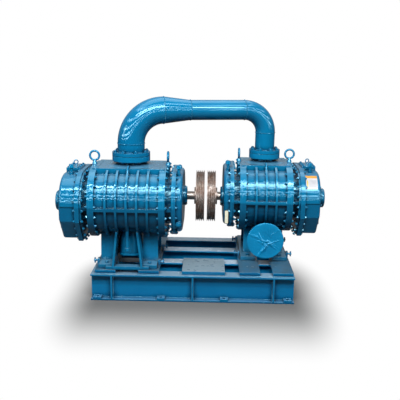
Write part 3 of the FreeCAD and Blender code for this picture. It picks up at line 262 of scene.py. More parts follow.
def coat_from(name, group, settings):
    """A material whose colour, gloss and relief come from a node group."""
    material = bpy.data.materials.new(name)
    material.use_nodes = True
    tree = material.node_tree
    layer = tree.nodes.new("ShaderNodeGroup")
    layer.node_tree = group
    for socket, value in settings.items():
        layer.inputs[socket].default_value = value
    shader = tree.nodes["Principled BSDF"]
    for socket, target in (("Color", "Base Color"), ("Roughness", "Roughness"), ("Normal", "Normal")):
        tree.links.new(layer.outputs[socket], shader.inputs[target])
    return material, shader


shaft_height = 0.692
# The heights between which the castings' lower halves get painted shade.
shade_fades_below, shade_full_above = 0.42, 0.47
surface = (("Color", "Color", None), ("Roughness", "Float", None), ("Normal", "Vector", None))
enamel, given, result = new_group("sprayed_enamel", "ShaderNodeTree", (
    ("Paint", "Color", (0.006, 0.15, 0.36, 1)),
    ("Worn edge and highlight", "Color", (0.03, 0.26, 0.46, 1)),
    ("Dust and sheen", "Float", 0.5),
    ("Sheen and dust colour", "Color", (0.13, 0.21, 0.25, 1)),
    ("Cast grain", "Float", 1.0),
    ("Edge width", "Float", 0.003),
    ("Unshaded below", "Float", 0.0),
), surface)
place = enamel.nodes.new("ShaderNodeTexCoord").outputs["Object"]
shape = enamel.nodes.new("ShaderNodeNewGeometry")
soft_edge = enamel.nodes.new("ShaderNodeBevel")
soft_edge.samples = 4
enamel.links.new(given.outputs["Edge width"], soft_edge.inputs["Radius"])
turned_by = enamel.nodes.new("ShaderNodeVectorMath")
turned_by.operation = "DOT_PRODUCT"
enamel.links.new(soft_edge.outputs["Normal"], turned_by.inputs[0])
enamel.links.new(shape.outputs["True Normal"], turned_by.inputs[1])
edge_mask = ranged(enamel, turned_by.outputs["Value"], 0.995, 0.88)
tone = noise_of(enamel, place, 3.1, 4)
cloud = noise_of(enamel, place, 17, 5, 0.6)
peel = noise_of(enamel, place, 420, 2)
grain = noise_of(enamel, place, 95, 5, 0.62)
ripple = noise_of(enamel, place, 48, 1)
facing_up = upright_part(enamel, shape.outputs["Normal"])
height = upright_part(enamel, place)
# Faces turned up: real dust, and a painted grey sheen where the tops would mirror the sky.
dust_and_sheen_mask = product(enamel, ranged(enamel, facing_up, 0.6, 0.98), ranged(enamel, height, 0.05, 0.15, 0.35, 1.0),
                ranged(enamel, cloud, 0.3, 0.7, 0.7, 1.0), given.outputs["Dust and sheen"])
thin = coloured(enamel, 1.0, given.outputs["Paint"], (0.60, 0.70, 0.80, 1), "MULTIPLY")
coat = coloured(enamel, ranged(enamel, tone, 0.35, 0.65, 0.0, 0.5), given.outputs["Paint"], thin)
# Lighter edges: worn thin paint and a painted edge highlight.
worn_and_highlit_edges = product(enamel, edge_mask, ranged(enamel, cloud, 0.3, 0.6, 0.1, 0.6))
edge_worn_and_highlit = coloured(enamel, worn_and_highlit_edges, coat, given.outputs["Worn edge and highlight"])
# Painted shade on faces turned down, darker the more they face the floor; the group's last input switches it
# off.
shade_below_kept = combined(enamel, "SUBTRACT", 1.0, given.outputs["Unshaded below"])
painted_underside_shade = product(enamel, ranged(enamel, facing_up, -0.03, -0.75, 0.0, 0.7), shade_below_kept)
shaded_below = coloured(enamel, painted_underside_shade, edge_worn_and_highlit, (0.001, 0.035, 0.085, 1))
dust_and_sheen_coat = coloured(enamel, dust_and_sheen_mask, shaded_below, given.outputs["Sheen and dust colour"])
# Painted shade in crevices, beside ribs and in corners, from ambient occlusion.
crevice = enamel.nodes.new("ShaderNodeAmbientOcclusion")
crevice.samples = 6
crevice.inputs["Distance"].default_value = 0.05
in_the_open = ranged(enamel, crevice.outputs["AO"], 0.40, 0.85)
crevice_shade = coloured(enamel, in_the_open, (0.15, 0.19, 0.24, 1), (1, 1, 1, 1))
crevice_shaded = coloured(enamel, 1.0, dust_and_sheen_coat, crevice_shade, "MULTIPLY")
# Painted shade on the castings' lower halves, from just below the shafts down to above the feet; where
# undersides are left unshaded, only on upright faces.
on_castings = combined(enamel, "MINIMUM", given.outputs["Cast grain"], 1.0)
not_below = combined(enamel, "MAXIMUM", shade_below_kept, ranged(enamel, facing_up, -0.4, -0.1))
lower_half_shade = product(enamel, ranged(enamel, height, shaft_height + 0.008, shaft_height - 0.008),
               ranged(enamel, height, shade_fades_below, shade_full_above), on_castings, not_below)
lower_half_shaded_colour = coloured(enamel, 1.0, crevice_shaded, (0.35, 0.52, 0.56, 1), "MULTIPLY")
enamel.links.new(coloured(enamel, lower_half_shade, crevice_shaded, lower_half_shaded_colour), result.inputs["Color"])
gloss = combined(enamel, "ADD", ranged(enamel, cloud, 0.3, 0.7, 0.04, 0.10), product(enamel, dust_and_sheen_mask, 0.22))
enamel.links.new(gloss, result.inputs["Roughness"])
lumps = combined(enamel, "ADD", product(enamel, grain, 0.22), product(enamel, ripple, 1.7))
cast_part = product(enamel, lumps, given.outputs["Cast grain"])
relief = relief_of(enamel, combined(enamel, "ADD", product(enamel, peel, 0.05), cast_part), 0.4, 0.0016)
enamel.links.new(soft_edge.outputs["Normal"], relief.inputs["Normal"])
enamel.links.new(relief.outputs["Normal"], result.inputs["Normal"])


# The edge colour stands for worn edges and a painted edge highlight, the dust share for dust and a painted
# sheen on top, and the last setting turns off the painted shade below.
def enamelled(name, paint, dust_and_sheen, cast, edge_width=0.003, worn=(0.03, 0.26, 0.46, 1),
              sheen_and_dust_colour=(0.13, 0.21, 0.25, 1), unshaded_below=0.0):
    """One coat of the machine's enamel."""
    material, shader = coat_from(name, enamel, {
        "Paint": paint, "Dust and sheen": dust_and_sheen, "Cast grain": cast, "Edge width": edge_width, "Worn edge and highlight": worn,
        "Sheen and dust colour": sheen_and_dust_colour, "Unshaded below": unshaded_below})
    shader.inputs["Specular Tint"].default_value = (0.42, 0.84, 1.0, 1)
    return material


def painted(material, names):
    """Gives CAD pieces their finish."""
    for name in names:
        for place_of in nodes[name].material_slots:
            place_of.material = material


# Pale edge colours: worn paint and a painted edge highlight.
bright_edge_and_highlight = (0.10, 0.32, 0.46, 1)
beam_enamel = enamelled("blue_enamel_on_beams", (0.0025, 0.14, 0.31, 1), 0.85, 0.35,
                        worn=bright_edge_and_highlight, sheen_and_dust_colour=(0.19, 0.28, 0.34, 1))
# A brighter, paler copy of the beams' enamel: painted light on the beams in the shaded bay.
bay_enamel_painted_lit = enamelled("blue_enamel_in_the_bay_painted_lit", (0.0035, 0.21, 0.46, 1), 0.9, 0.35,
                       worn=bright_edge_and_highlight, sheen_and_dust_colour=(0.42, 0.50, 0.56, 1))
painted(beam_enamel, ("front_beam", "end_beams"))
painted(bay_enamel_painted_lit, ("inner_beams", "rear_beam"))

# The weld runs of the base: small overlapping ripples along its main joints, painted over. They
# follow lines of points, and the same tree later lays the seams round the pipe.
geometry = ("Geometry", "Geometry", None)
weld_tree, given, result = new_group("weld_run", "GeometryNodeTree", (
    geometry, ("Bead radius", "Float", 0.004), ("Ripple pitch", "Float", 0.005), ("Seed", "Int", 4),
    ("Finish", "Material", None)), (geometry,))
weld_tree.is_modifier = True


def finished(tree, copies, given, result):
    """Makes the copies real, paints them and gives them back."""
    real = tree.nodes.new("GeometryNodeRealizeInstances")
    finish = tree.nodes.new("GeometryNodeSetMaterial")
    tree.links.new(copies, real.inputs["Geometry"])
    tree.links.new(real.outputs["Geometry"], finish.inputs["Geometry"])
    tree.links.new(given.outputs["Finish"], finish.inputs["Material"])
    tree.links.new(finish.outputs["Geometry"], result.inputs["Geometry"])


line = weld_tree.nodes.new("GeometryNodeMeshToCurve")
even = weld_tree.nodes.new("GeometryNodeResampleCurve")
even.mode = "LENGTH"
bead = weld_tree.nodes.new("GeometryNodeMeshIcoSphere")
bead.inputs["Subdivisions"].default_value = 2
laid = weld_tree.nodes.new("GeometryNodeInstanceOnPoints")
uneven = weld_tree.nodes.new("FunctionNodeRandomValue")
uneven.data_type = "FLOAT_VECTOR"
uneven.inputs["Min"].default_value = (0.8, 0.8, 0.8)
uneven.inputs["Max"].default_value = (1.15, 1.15, 1.1)
for source, target in (
    (given.outputs["Geometry"], line.inputs["Mesh"]),
    (line.outputs["Curve"], even.inputs["Curve"]),
    (given.outputs["Ripple pitch"], even.inputs["Length"]),
    (given.outputs["Bead radius"], bead.inputs["Radius"]),
    (even.outputs["Curve"], laid.inputs["Points"]),
    (bead.outputs["Mesh"], laid.inputs["Instance"]),
    (given.outputs["Seed"], uneven.inputs["Seed"]),
    (uneven.outputs["Value"], laid.inputs["Scale"]),
):
    weld_tree.links.new(source, target)
finished(weld_tree, laid.outputs["Instances"], given, result)


def rides(piece, body="set"):
    """Fixes a piece to a body of the machine."""
    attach(piece, body)


def grown(name, points, lines, tree, settings, facings=None):
    """Runs a tree over points or lines and fixes the plain mesh that it makes to the machine."""
    mesh = bpy.data.meshes.new(name)
    mesh.from_pydata(points, lines, [])
    if facings is not None:
        way = mesh.attributes.new("facing", "FLOAT_VECTOR", "POINT")
        way.data.foreach_set("vector", [number for facing in facings for number in facing])
    piece = bpy.data.objects.new(name, mesh)
    bpy.context.collection.objects.link(piece)
    modifier = piece.modifiers.new("grow", "NODES")
    modifier.node_group = tree
    for item in tree.interface.items_tree:
        if item.in_out == "INPUT" and item.name in settings:
            modifier[item.identifier] = settings[item.name]
    evaluated = piece.evaluated_get(bpy.context.evaluated_depsgraph_get())
    mesh = bpy.data.meshes.new_from_object(evaluated)
    piece.modifiers.remove(modifier)
    piece.data = mesh
    mesh.name = name
    rides(piece)


def weld_lines(name, pairs, seed):
    """Weld runs along separate straight lines."""
    points = [end for pair in pairs for end in pair]
    lines = [(first, first + 1) for first in range(0, len(points), 2)]
    settings = {"Bead radius": 0.0035, "Ripple pitch": 0.0048, "Seed": seed, "Finish": weld_enamel_painted_pale}
    grown(name, points, lines, weld_tree, settings)


# The welds get a paler copy of the beams' enamel: a painted highlight along each weld run.
weld_enamel_painted_pale = enamelled("blue_enamel_on_welds_painted_pale", (0.05, 0.27, 0.44, 1), 0.6, 0.2, 0.0015)
front_low, front_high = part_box("front_beam")
flange_front = front_low[1] + 0.002
web_front = front_low[1] + 0.046
tab_edge = front_low[1] + 0.042
low_weld, high_weld, tab_weld = 0.013, 0.187, 0.0255
stiffener_pitch, half_stiffener, half_tab, inner_end = 0.593, 0.007, 0.028, 0.6455
pairs = [((front_low[0], web_front, z), (front_high[0], web_front, z)) for z in (low_weld, high_weld)]
for stiffener in (-stiffener_pitch, 0.0, stiffener_pitch):
    for x in (stiffener - half_stiffener, stiffener + half_stiffener):
        pairs.append(((x, web_front, low_weld + 0.001), (x, web_front, high_weld - 0.001)))
        pairs.append(((x, flange_front, low_weld), (x, web_front, low_weld)))
for anchor in (-0.698, -0.232, 0.232, 0.698):
    for y in (tab_edge, -tab_edge):
        pairs.append(((anchor - half_tab, y, tab_weld), (anchor + half_tab, y, tab_weld)))
for y in (-0.1, 0.1, -0.2, 0.2):
    for x in (-inner_end, inner_end):
        pairs.append(((x, y, low_weld - 0.0005), (x, y, high_weld + 0.001)))
weld_lines("base_weld_runs", pairs, 3)

# Deck plates under the feet and the empty seat for a motor slide in the middle: flat steel plate,
# welded onto the beams. Its enamel is smooth, pale at the edges from scuffs and a painted edge highlight, and
# dusty on top with a painted sheen, dark on the deck plates and grey on the seat.
scuffed_and_highlit_edge = (0.26, 0.42, 0.50, 1)
deck_enamel = enamelled("scuffed_and_highlit_enamel_on_plates", (0.003, 0.15, 0.33, 1), 0.85, 0.12,
                        worn=scuffed_and_highlit_edge, sheen_and_dust_colour=(0.045, 0.075, 0.09, 1))
seat_enamel = enamelled("bare_enamel_on_seat", (0.004, 0.16, 0.34, 1), 1.25, 0.12,
                        worn=scuffed_and_highlit_edge, sheen_and_dust_colour=(0.145, 0.21, 0.26, 1))
painted(deck_enamel, ("first_deck_plates", "second_deck_plates"))
painted(seat_enamel, ("seat_plate",))
plate_edge, lug_reach, plate_width, top_weld = front_low[1] + 0.012, 0.031, 0.152, 0.2025
pairs = []
for name in ("first_deck_plates", "second_deck_plates"):
    low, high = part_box(name)
    for x in (low[0] + lug_reach, high[0] - lug_reach - plate_width):
        pairs.append(((x, plate_edge, top_weld), (x + plate_width, plate_edge, top_weld)))
low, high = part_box("seat_plate")
pairs += [((x, low[1], top_weld), (x, low[1] + 0.06, top_weld)) for x in (low[0], high[0])]
weld_lines("deck_weld_runs", pairs, 9)

# The castings of both stages: rough sand-cast iron under the same enamel, so the gloss breaks up
# into soft ripples. The gear cases and drive covers are smoother, in a darker copy of the enamel as painted
# shade, and their faces turned down get no painted shade.
cast_enamel = enamelled("blue_enamel_on_castings", (0.0025, 0.15, 0.30, 1), 0.45, 1.0)
# A darker copy of the enamel: painted shade on the gear cases and drive covers.
cover_enamel_painted_darker = enamelled("blue_enamel_on_covers_painted_darker", (0.002, 0.125, 0.26, 1), 0.3, 0.6, unshaded_below=1.0)
small_enamel = enamelled("blue_enamel_on_fasteners", (0.003, 0.16, 0.32, 1), 0.2, 0.2, 0.0012)
for stage in ("first", "second"):
    painted(cast_enamel, [f"{stage}_{name}" for name in (
        "casing", "drive_side_plate", "gear_side_plate", "hatch",
        "drive_end_cap", "idle_end_cap", "seal_cap")])
    painted(cover_enamel_painted_darker, [f"{stage}_gear_case", f"{stage}_drive_cover"])
    painted(small_enamel, [f"{stage}_{name}" for name in (
        "level_plug", "port_bolts", "lifting_eyes", "cover_eyes", "breathers", "foot_bolts")])

# The screws of the castings: hexagon heads on washers round the flanges and covers. Each row is a
# set of points with the way that its heads face, and one tree turns the points into screws.
screw_tree, given, result = new_group("screw_heads", "GeometryNodeTree", (
    geometry, ("Head radius", "Float", 0.011), ("Head height", "Float", 0.009),
    ("Stud length", "Float", 0.004), ("Seed", "Int", 1), ("Finish", "Material", None)), (geometry,))
screw_tree.is_modifier = True


def stacked(sides, low_radius, high_radius, height, rise=None):
    """A straight or tapered piece of a screw, standing at a height."""
    solid = screw_tree.nodes.new("GeometryNodeMeshCone")
    solid.inputs["Vertices"].default_value = sides
    for socket, part in (("Radius Bottom", low_radius), ("Radius Top", high_radius), ("Depth", height)):
        screw_tree.links.new(part, solid.inputs[socket])
    lift = screw_tree.nodes.new("ShaderNodeCombineXYZ")
    if rise is not None:
        screw_tree.links.new(rise, lift.inputs["Z"])
    moved = screw_tree.nodes.new("GeometryNodeTransform")
    screw_tree.links.new(solid.outputs["Mesh"], moved.inputs["Geometry"])
    screw_tree.links.new(lift.outputs[0], moved.inputs["Translation"])
    return moved.outputs["Geometry"]


head_radius, head_height = given.outputs["Head radius"], given.outputs["Head height"]
washer_radius = product(screw_tree, head_radius, 1.32)
washer_height = product(screw_tree, head_height, 0.22)
chamfer_start = product(screw_tree, head_height, 0.82)
chamfer_radius = product(screw_tree, head_radius, 0.84)
chamfer_height = combined(screw_tree, "SUBTRACT", head_height, chamfer_start)
stud_radius = product(screw_tree, head_radius, 0.5)
stacks = [
    stacked(16, washer_radius, washer_radius, washer_height),
    stacked(6, head_radius, head_radius, chamfer_start, washer_height),
    stacked(6, head_radius, chamfer_radius, chamfer_height,
            combined(screw_tree, "ADD", washer_height, chamfer_start)),
    stacked(10, stud_radius, stud_radius, given.outputs["Stud length"],
            combined(screw_tree, "ADD", washer_height, head_height)),
]
screw = screw_tree.nodes.new("GeometryNodeJoinGeometry")
for stack in reversed(stacks):
    screw_tree.links.new(stack, screw.inputs["Geometry"])
set_out = screw_tree.nodes.new("GeometryNodeInstanceOnPoints")
facing_of = screw_tree.nodes.new("GeometryNodeInputNamedAttribute")
facing_of.data_type = "FLOAT_VECTOR"
facing_of.inputs["Name"].default_value = "facing"
aligned = screw_tree.nodes.new("FunctionNodeAlignRotationToVector")
aligned.axis = "Z"
chance = screw_tree.nodes.new("FunctionNodeRandomValue")
chance.inputs["Max"].default_value = 1.05
spin = screw_tree.nodes.new("ShaderNodeCombineXYZ")
spin_turn = screw_tree.nodes.new("FunctionNodeEulerToRotation")
turned = screw_tree.nodes.new("FunctionNodeRotateRotation")
turned.rotation_space = "LOCAL"
for source, target in (
    (facing_of.outputs["Attribute"], aligned.inputs["Vector"]),
    (given.outputs["Seed"], chance.inputs["Seed"]),
    (chance.outputs[1], spin.inputs["Z"]),
    (spin.outputs[0], spin_turn.inputs["Euler"]),
    (aligned.outputs["Rotation"], turned.inputs["Rotation"]),
    (spin_turn.outputs["Rotation"], turned.inputs["Rotate By"]),
    (given.outputs["Geometry"], set_out.inputs["Points"]),
    (screw.outputs["Geometry"], set_out.inputs["Instance"]),
    (turned.outputs["Rotation"], set_out.inputs["Rotation"]),
):
    screw_tree.links.new(source, target)
finished(screw_tree, set_out.outputs["Instances"], given, result)


def screwed(name, points, facings, radius, height, stud, seed):
    """A set of screws, one on each point."""
    settings = {"Head radius": radius, "Head height": height, "Stud length": stud, "Seed": seed,
                "Finish": small_enamel}
    grown(name, points, [], screw_tree, settings, facings)


def outline_spots(corners, count, start=0.0):
    """Points evenly spaced round an outline whose corners may be rounded: (y, z) or (y, z, radius)."""
    path = []
    total = len(corners)
    for index, corner in enumerate(corners):
        here = Vector(corner[:2])
        before = (Vector(corners[index - 1][:2]) - here).normalized()
        after = (Vector(corners[(index + 1) % total][:2]) - here).normalized()
        radius = corner[2] if len(corner) > 2 else 0
        if not radius:
            path.append(here)
            continue
        half = before.angle(after) / 2
        centre = here + (before + after).normalized() * (radius / math.sin(half))
        first = here + before * (radius / math.tan(half)) - centre
        last = here + after * (radius / math.tan(half)) - centre
        sweep = math.atan2(first.x * last.y - first.y * last.x, first.dot(last))
        for step in range(25):
            turn = sweep * step / 24
            path.append(centre + Vector((first.x * math.cos(turn) - first.y * math.sin(turn),
                                         first.x * math.sin(turn) + first.y * math.cos(turn))))
    lengths = [(path[(i + 1) % len(path)] - path[i]).length for i in range(len(path))]
    around = sum(lengths)
    spots = []
    for number in range(count):
        left = around * ((number + start) / count)
        index = 0
        while left > lengths[index]:
            left -= lengths[index]
            index += 1
        spots.append(path[index].lerp(path[(index + 1) % len(path)], left / lengths[index]))
    return spots


def block_outline(half_width, half_height, radius):
    """The corners of a rounded block."""
    return [(-half_width, -half_height, radius), (half_width, -half_height, radius),
            (half_width, half_height, radius), (-half_width, half_height, radius)]


def round_spots(count, radius, start):
    """Points on a circle."""
    turns = [math.radians(start + 360 * step / count) for step in range(count)]
    return [(radius * math.cos(turn), radius * math.sin(turn)) for turn in turns]


stage_facts = {"first": (-0.12, -1), "second": (0.12, 1)}
sump_half, shoulder_half, sump_floor, shoulder = 0.221, 0.342, -0.272, -0.105
case_path = [(-sump_half, sump_floor), (sump_half, sump_floor), (shoulder_half, shoulder),
             (shoulder_half, 0.222, 0.216), (-shoulder_half, 0.222, 0.216), (-shoulder_half, shoulder)]
end_flange, plate_rim, cover_rim, gear_flange, screw_seat = 0.032, 0.014, 0.014, 0.033, 0.016
flange_ring = outline_spots(block_outline(0.339, 0.249, 0.216), 26, 0.5)
cover_ring = outline_spots(block_outline(0.318, 0.228, 0.195), 24, 0.5)
case_ring = outline_spots(case_path, 26, 0.3)
points, facings = [], []
for stage, (middle_y, sign) in stage_facts.items():
    near, far = (1, 0) if sign < 0 else (0, 1)
    cover_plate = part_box(f"{stage}_drive_side_plate")
    gear_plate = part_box(f"{stage}_gear_side_plate")
    for ring, joint, outward, facing in (
        (flange_ring, cover_plate[far][0], -plate_rim, -1),
        (flange_ring, gear_plate[near][0], plate_rim, 1),
        (flange_ring, cover_plate[far][0], end_flange, 1),
        (flange_ring, gear_plate[near][0], -end_flange, -1),
        (cover_ring, cover_plate[near][0], -screw_seat, -1),
        (cover_ring, cover_plate[near][0], cover_rim, 1),
        (case_ring, gear_plate[far][0], -plate_rim, -1),
        (case_ring, gear_plate[far][0], gear_flange, 1),
    ):
        points += [(joint + sign * outward, middle_y + spot.x, shaft_height + spot.y) for spot in ring]
        facings += [(sign * facing, 0, 0)] * len(ring)
screwed("flange_screws", points, facings, 0.0105, 0.009, 0.004, 5)

# Screws of the small covers: six on each end cap and seal cap, and a row down both sides of
# each inspection hatch.
points, facings = [], []
for stage, (middle_y, sign) in stage_facts.items():
    for name, way, ring, rise in (("drive_end_cap", sign, 0.085, 0.024), ("idle_end_cap", sign, 0.085, 0.024),
                                  ("seal_cap", -sign, 0.066, 0.0125)):
        low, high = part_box(f"{stage}_{name}")
        seat = (low[0] if way > 0 else high[0]) + way * rise
        centre_y, centre_z = (low[1] + high[1]) / 2, (low[2] + high[2]) / 2
        points += [(seat, centre_y + y, centre_z + z) for y, z in round_spots(6, ring, 30)]
        facings += [(way, 0, 0)] * 6
    low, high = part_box(f"{stage}_hatch")
    edge, end = 0.014, 0.016
    for x in (low[0] + edge, high[0] - edge):
        points += [(x, low[1] + end + (high[1] - low[1] - 2 * end) * step / 3, high[2]) for step in range(4)]
        facings += [(0, 0, 1)] * 4
screwed("cover_screws", points, facings, 0.0085, 0.0075, 0.0015, 8)

# The bolts of the outlet flange: eight hexagon nuts with their stud ends, painted with the casting.
# They show behind the rim of the flange's film.
film_low, film_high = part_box("second_port_film")
outlet_middle = ((film_low[0] + film_high[0]) / 2, (film_low[2] + film_high[2]) / 2)
film_sheet, outlet_flange, outlet_circle = 0.0033, 0.024, 0.111
outlet_back = film_low[1] + film_sheet + outlet_flange
points = [(outlet_middle[0] + x, outlet_back, outlet_middle[1] + z)
          for x, z in round_spots(8, outlet_circle, 22.5)]
screwed("outlet_nuts", points, [(0, 1, 0)] * 8, 0.014, 0.011, 0.012, 2)

# Pressure taps: a thin bent tube from under each port flange down over the roof's edge to a
# thicker round cap, painted with the casing.
def skinned(shape, rings, closed=True):
    """Smooth faces between neighbouring rings of points."""
    for one, two in zip(rings, rings[1:]):
        for here in range(len(one) if closed else len(one) - 1):
            after = (here + 1) % len(one)
            shape.faces.new((one[here], one[after], two[after], two[here])).smooth = True


def plain_mesh(name, shape, material):
    """A finished piece from a bmesh, fixed to the machine."""
    mesh = bpy.data.meshes.new(name)
    shape.to_mesh(mesh)
    shape.free()
    mesh.materials.append(material)
    piece = bpy.data.objects.new(name, mesh)
    bpy.context.collection.objects.link(piece)
    rides(piece)
    return piece


tap_line = ((0.05, 0.012, 0.006), (0.01, 0.014, 0.006), (-0.018, 0.004, 0.006),
            (-0.030, -0.016, 0.006), (-0.034, -0.045, 0.006), (-0.036, -0.046, 0.011),
            (-0.037, -0.052, 0.012), (-0.039, -0.078, 0.012), (-0.040, -0.080, 0.008))
roof_half, roof_rise, tap_sides = 0.195, 0.2605, 14
for stage, (middle_y, sign) in stage_facts.items():
    low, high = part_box(f"{stage}_gasket")
    spots = [Vector(((low[0] + high[0]) / 2, middle_y - roof_half + out, shaft_height + roof_rise + up))
             for out, up, thick in tap_line]
    shape = bmesh.new()
    rings = []
    for index, (out, up, thick) in enumerate(tap_line):
        ahead = spots[min(index + 1, len(spots) - 1)] - spots[max(index - 1, 0)]
        side = ahead.cross(Vector((1, 0.01, 0))).normalized()
        other = ahead.cross(side).normalized()
        rings.append([shape.verts.new(spots[index] + side * across + other * along)
                      for across, along in round_spots(tap_sides, thick, 0)])
    skinned(shape, rings)
    shape.faces.new(rings[0][::-1])
    shape.faces.new(rings[-1])
    bmesh.ops.recalc_face_normals(shape, faces=shape.faces)
    plain_mesh(f"{stage}_pressure_tap", shape, small_enamel)

# Bare working metal: the shaft ends, ground and lightly browned, and the belt pulleys, turned iron
# with fine lathe rings and patches of rust. The rotors, gears and bearings inside are cleaner.
iron, given, result = new_group("turned_iron", "ShaderNodeTree", (
    ("Metal", "Color", (0.30, 0.26, 0.23, 1)),
    ("Rust", "Color", (0.20, 0.075, 0.03, 1)),
    ("Rust amount", "Float", 0.5),
    ("Gloss", "Float", 0.3),
), surface)
place = iron.nodes.new("ShaderNodeTexCoord").outputs["Object"]
from_axis = iron.nodes.new("ShaderNodeMapping")
from_axis.inputs["Location"].default_value = (0, 0, -shaft_height)
iron.links.new(place, from_axis.inputs["Vector"])
split = iron.nodes.new("ShaderNodeSeparateXYZ")
iron.links.new(from_axis.outputs[0], split.inputs[0])
squares = [product(iron, split.outputs[axis], split.outputs[axis]) for axis in ("Y", "Z")]
lathe = iron.nodes.new("ShaderNodeCombineXYZ")
iron.links.new(split.outputs["X"], lathe.inputs["X"])
iron.links.new(combined(iron, "SQRT", combined(iron, "ADD", *squares)), lathe.inputs["Y"])
rings = noise_of(iron, lathe.outputs[0], 260, 2)
blotch = noise_of(iron, place, 22, 6, 0.65)
speck = noise_of(iron, place, 160, 3, 0.6)
spotty = combined(iron, "ADD", product(iron, blotch, 0.75), product(iron, speck, 0.25))
rusty = product(iron, ranged(iron, spotty, 0.42, 0.62), given.outputs["Rust amount"])
darker = coloured(iron, 1.0, given.outputs["Metal"], (0.5, 0.47, 0.45, 1), "MULTIPLY")
streaked = coloured(iron, ranged(iron, rings, 0.35, 0.65, 0.0, 0.6), given.outputs["Metal"], darker)
iron.links.new(coloured(iron, rusty, streaked, given.outputs["Rust"]), result.inputs["Color"])
polish = combined(iron, "ADD", given.outputs["Gloss"], ranged(iron, blotch, 0.3, 0.7, -0.05, 0.1))
iron.links.new(combined(iron, "ADD", product(iron, rusty, 0.4), polish), result.inputs["Roughness"])
relief = relief_of(iron, combined(iron, "ADD", rings, product(iron, speck, 0.5)), 0.35, 0.0006)
iron.links.new(relief.outputs["Normal"], result.inputs["Normal"])
for name, metal, rust, amount, gloss, metallic, pieces in (
    ("turned_pulley_iron", (0.22, 0.19, 0.175, 1), (0.13, 0.06, 0.03, 1), 0.75, 0.38, 0.7, ("pulley",)),
    ("ground_shaft_steel", (0.24, 0.215, 0.20, 1), (0.10, 0.07, 0.05, 1), 0.35, 0.24, 1.0,
     ("drive_shaft", "idle_shaft")),
    ("inner_ground_steel", (0.55, 0.55, 0.55, 1), (0.30, 0.26, 0.22, 1), 0.15, 0.25, 1.0,
     ("drive_gear", "idle_gear", "bearings")),
    ("milled_rotor_iron", (0.30, 0.30, 0.31, 1), (0.16, 0.12, 0.09, 1), 0.25, 0.4, 0.8,
     ("drive_rotor", "idle_rotor")),
):
    settings = {"Metal": metal, "Rust": rust, "Rust amount": amount, "Gloss": gloss}
    metal_look, shader = coat_from(name, iron, settings)
    shader.inputs["Metallic"].default_value = metallic
    painted(metal_look, [f"{stage}_{piece}" for stage in stage_facts for piece in pieces])

# Oil gauges: a pale block of clouded sight glass on each drive cover, at the back on the first stage
# and at the front on the second. The gasket of each port joint is black sheet between the flanges.
def mottled(name, scale, detail, span, first, second, roughness):
    """An even surface with a second tone in clouds."""
    material = bpy.data.materials.new(name)
    material.use_nodes = True
    tree = material.node_tree
    shader = tree.nodes["Principled BSDF"]
    spot = tree.nodes.new("ShaderNodeTexCoord").outputs["Object"]
    cloud = ranged(tree, noise_of(tree, spot, scale, detail), *span)
    tree.links.new(coloured(tree, cloud, first, second), shader.inputs["Base Color"])
    shader.inputs["Roughness"].default_value = roughness
    return material


lens = mottled("pale_sight_tube", 60, 4, (0.35, 0.65, 0.0, 0.6),
               (0.72, 0.70, 0.56, 1), (0.50, 0.47, 0.33, 1), 0.18)
sheet_black = mottled("black_sheet_gasket", 80, 4, (0, 1), (0.02, 0.02, 0.02, 1), (0.05, 0.05, 0.05, 1), 0.7)
painted(lens, ("first_oil_gauge", "second_oil_gauge"))
painted(sheet_black, ("first_gasket", "second_gasket"))

# The crossover pipe: seamless tube with bought elbows and a reducer, butt-welded, so a raised seam
# stands round each joint and at the neck of each flange.
# A darker copy of the enamel: painted shade on the pipe.
pipe_enamel_painted_darker = enamelled("blue_enamel_on_pipe_painted_darker", (0.002, 0.135, 0.275, 1), 0.12, 0.03)
painted(pipe_enamel_painted_darker, ("crossover_pipe",))
first_port, second_port = Vector((-0.483, -0.12, 0)), Vector((0.5405, 0.12, 0))
along = (second_port - first_port).normalized()
run = (second_port - first_port).length
pipe_height, neck_height, wide, narrow, seam_points = 1.359, 1.0525, 0.1018, 0.0763, 72
first_bend, second_bend, reducer = 0.245, 0.175, 0.205
points, lines = [], []
for distance, height, radius, upright in (
    (first_bend, pipe_height, wide, False), (first_bend + reducer, pipe_height, narrow, False),
    (run - second_bend, pipe_height, narrow, False), (0.0, pipe_height - first_bend, wide, True),
    (run, pipe_height - second_bend, narrow, True), (0.0, neck_height, wide, True),
    (run, neck_height, narrow, True),
):
    centre = first_port + along * distance + Vector((0, 0, height))
    side = along if upright else Vector((0, 0, 1))
    other = Vector((-along.y, along.x, 0))
    first = len(points)
    points += [tuple(centre + side * a + other * b) for a, b in round_spots(seam_points, radius, 0)]
    lines += [(first + k, first + (k + 1) % seam_points) for k in range(seam_points)]
settings = {"Bead radius": 0.0034, "Ripple pitch": 0.0046, "Seed": 6, "Finish": pipe_enamel_painted_darker}
grown("pipe_weld_seams", points, lines, weld_tree, settings)

# Transport film over the outlet: a round of blue plastic pulled over the flange, creased from a
# few points where it was gathered, and folded back round the rim.
film = mottled("blue_transport_film", 9, 4, (0.35, 0.65, 0.0, 0.7),
               (0.003, 0.19, 0.39, 1), (0.0025, 0.14, 0.30, 1), 0.12)
tree = film.node_tree
shader = tree.nodes["Principled BSDF"]
shader.inputs["Specular Tint"].default_value = (0.3, 0.75, 1.0, 1)
spot = tree.nodes.new("ShaderNodeTexCoord").outputs["Object"]
relief = relief_of(tree, noise_of(tree, spot, 70, 4, 0.6), 0.5, 0.002)
tree.links.new(relief.outputs["Normal"], shader.inputs["Normal"])

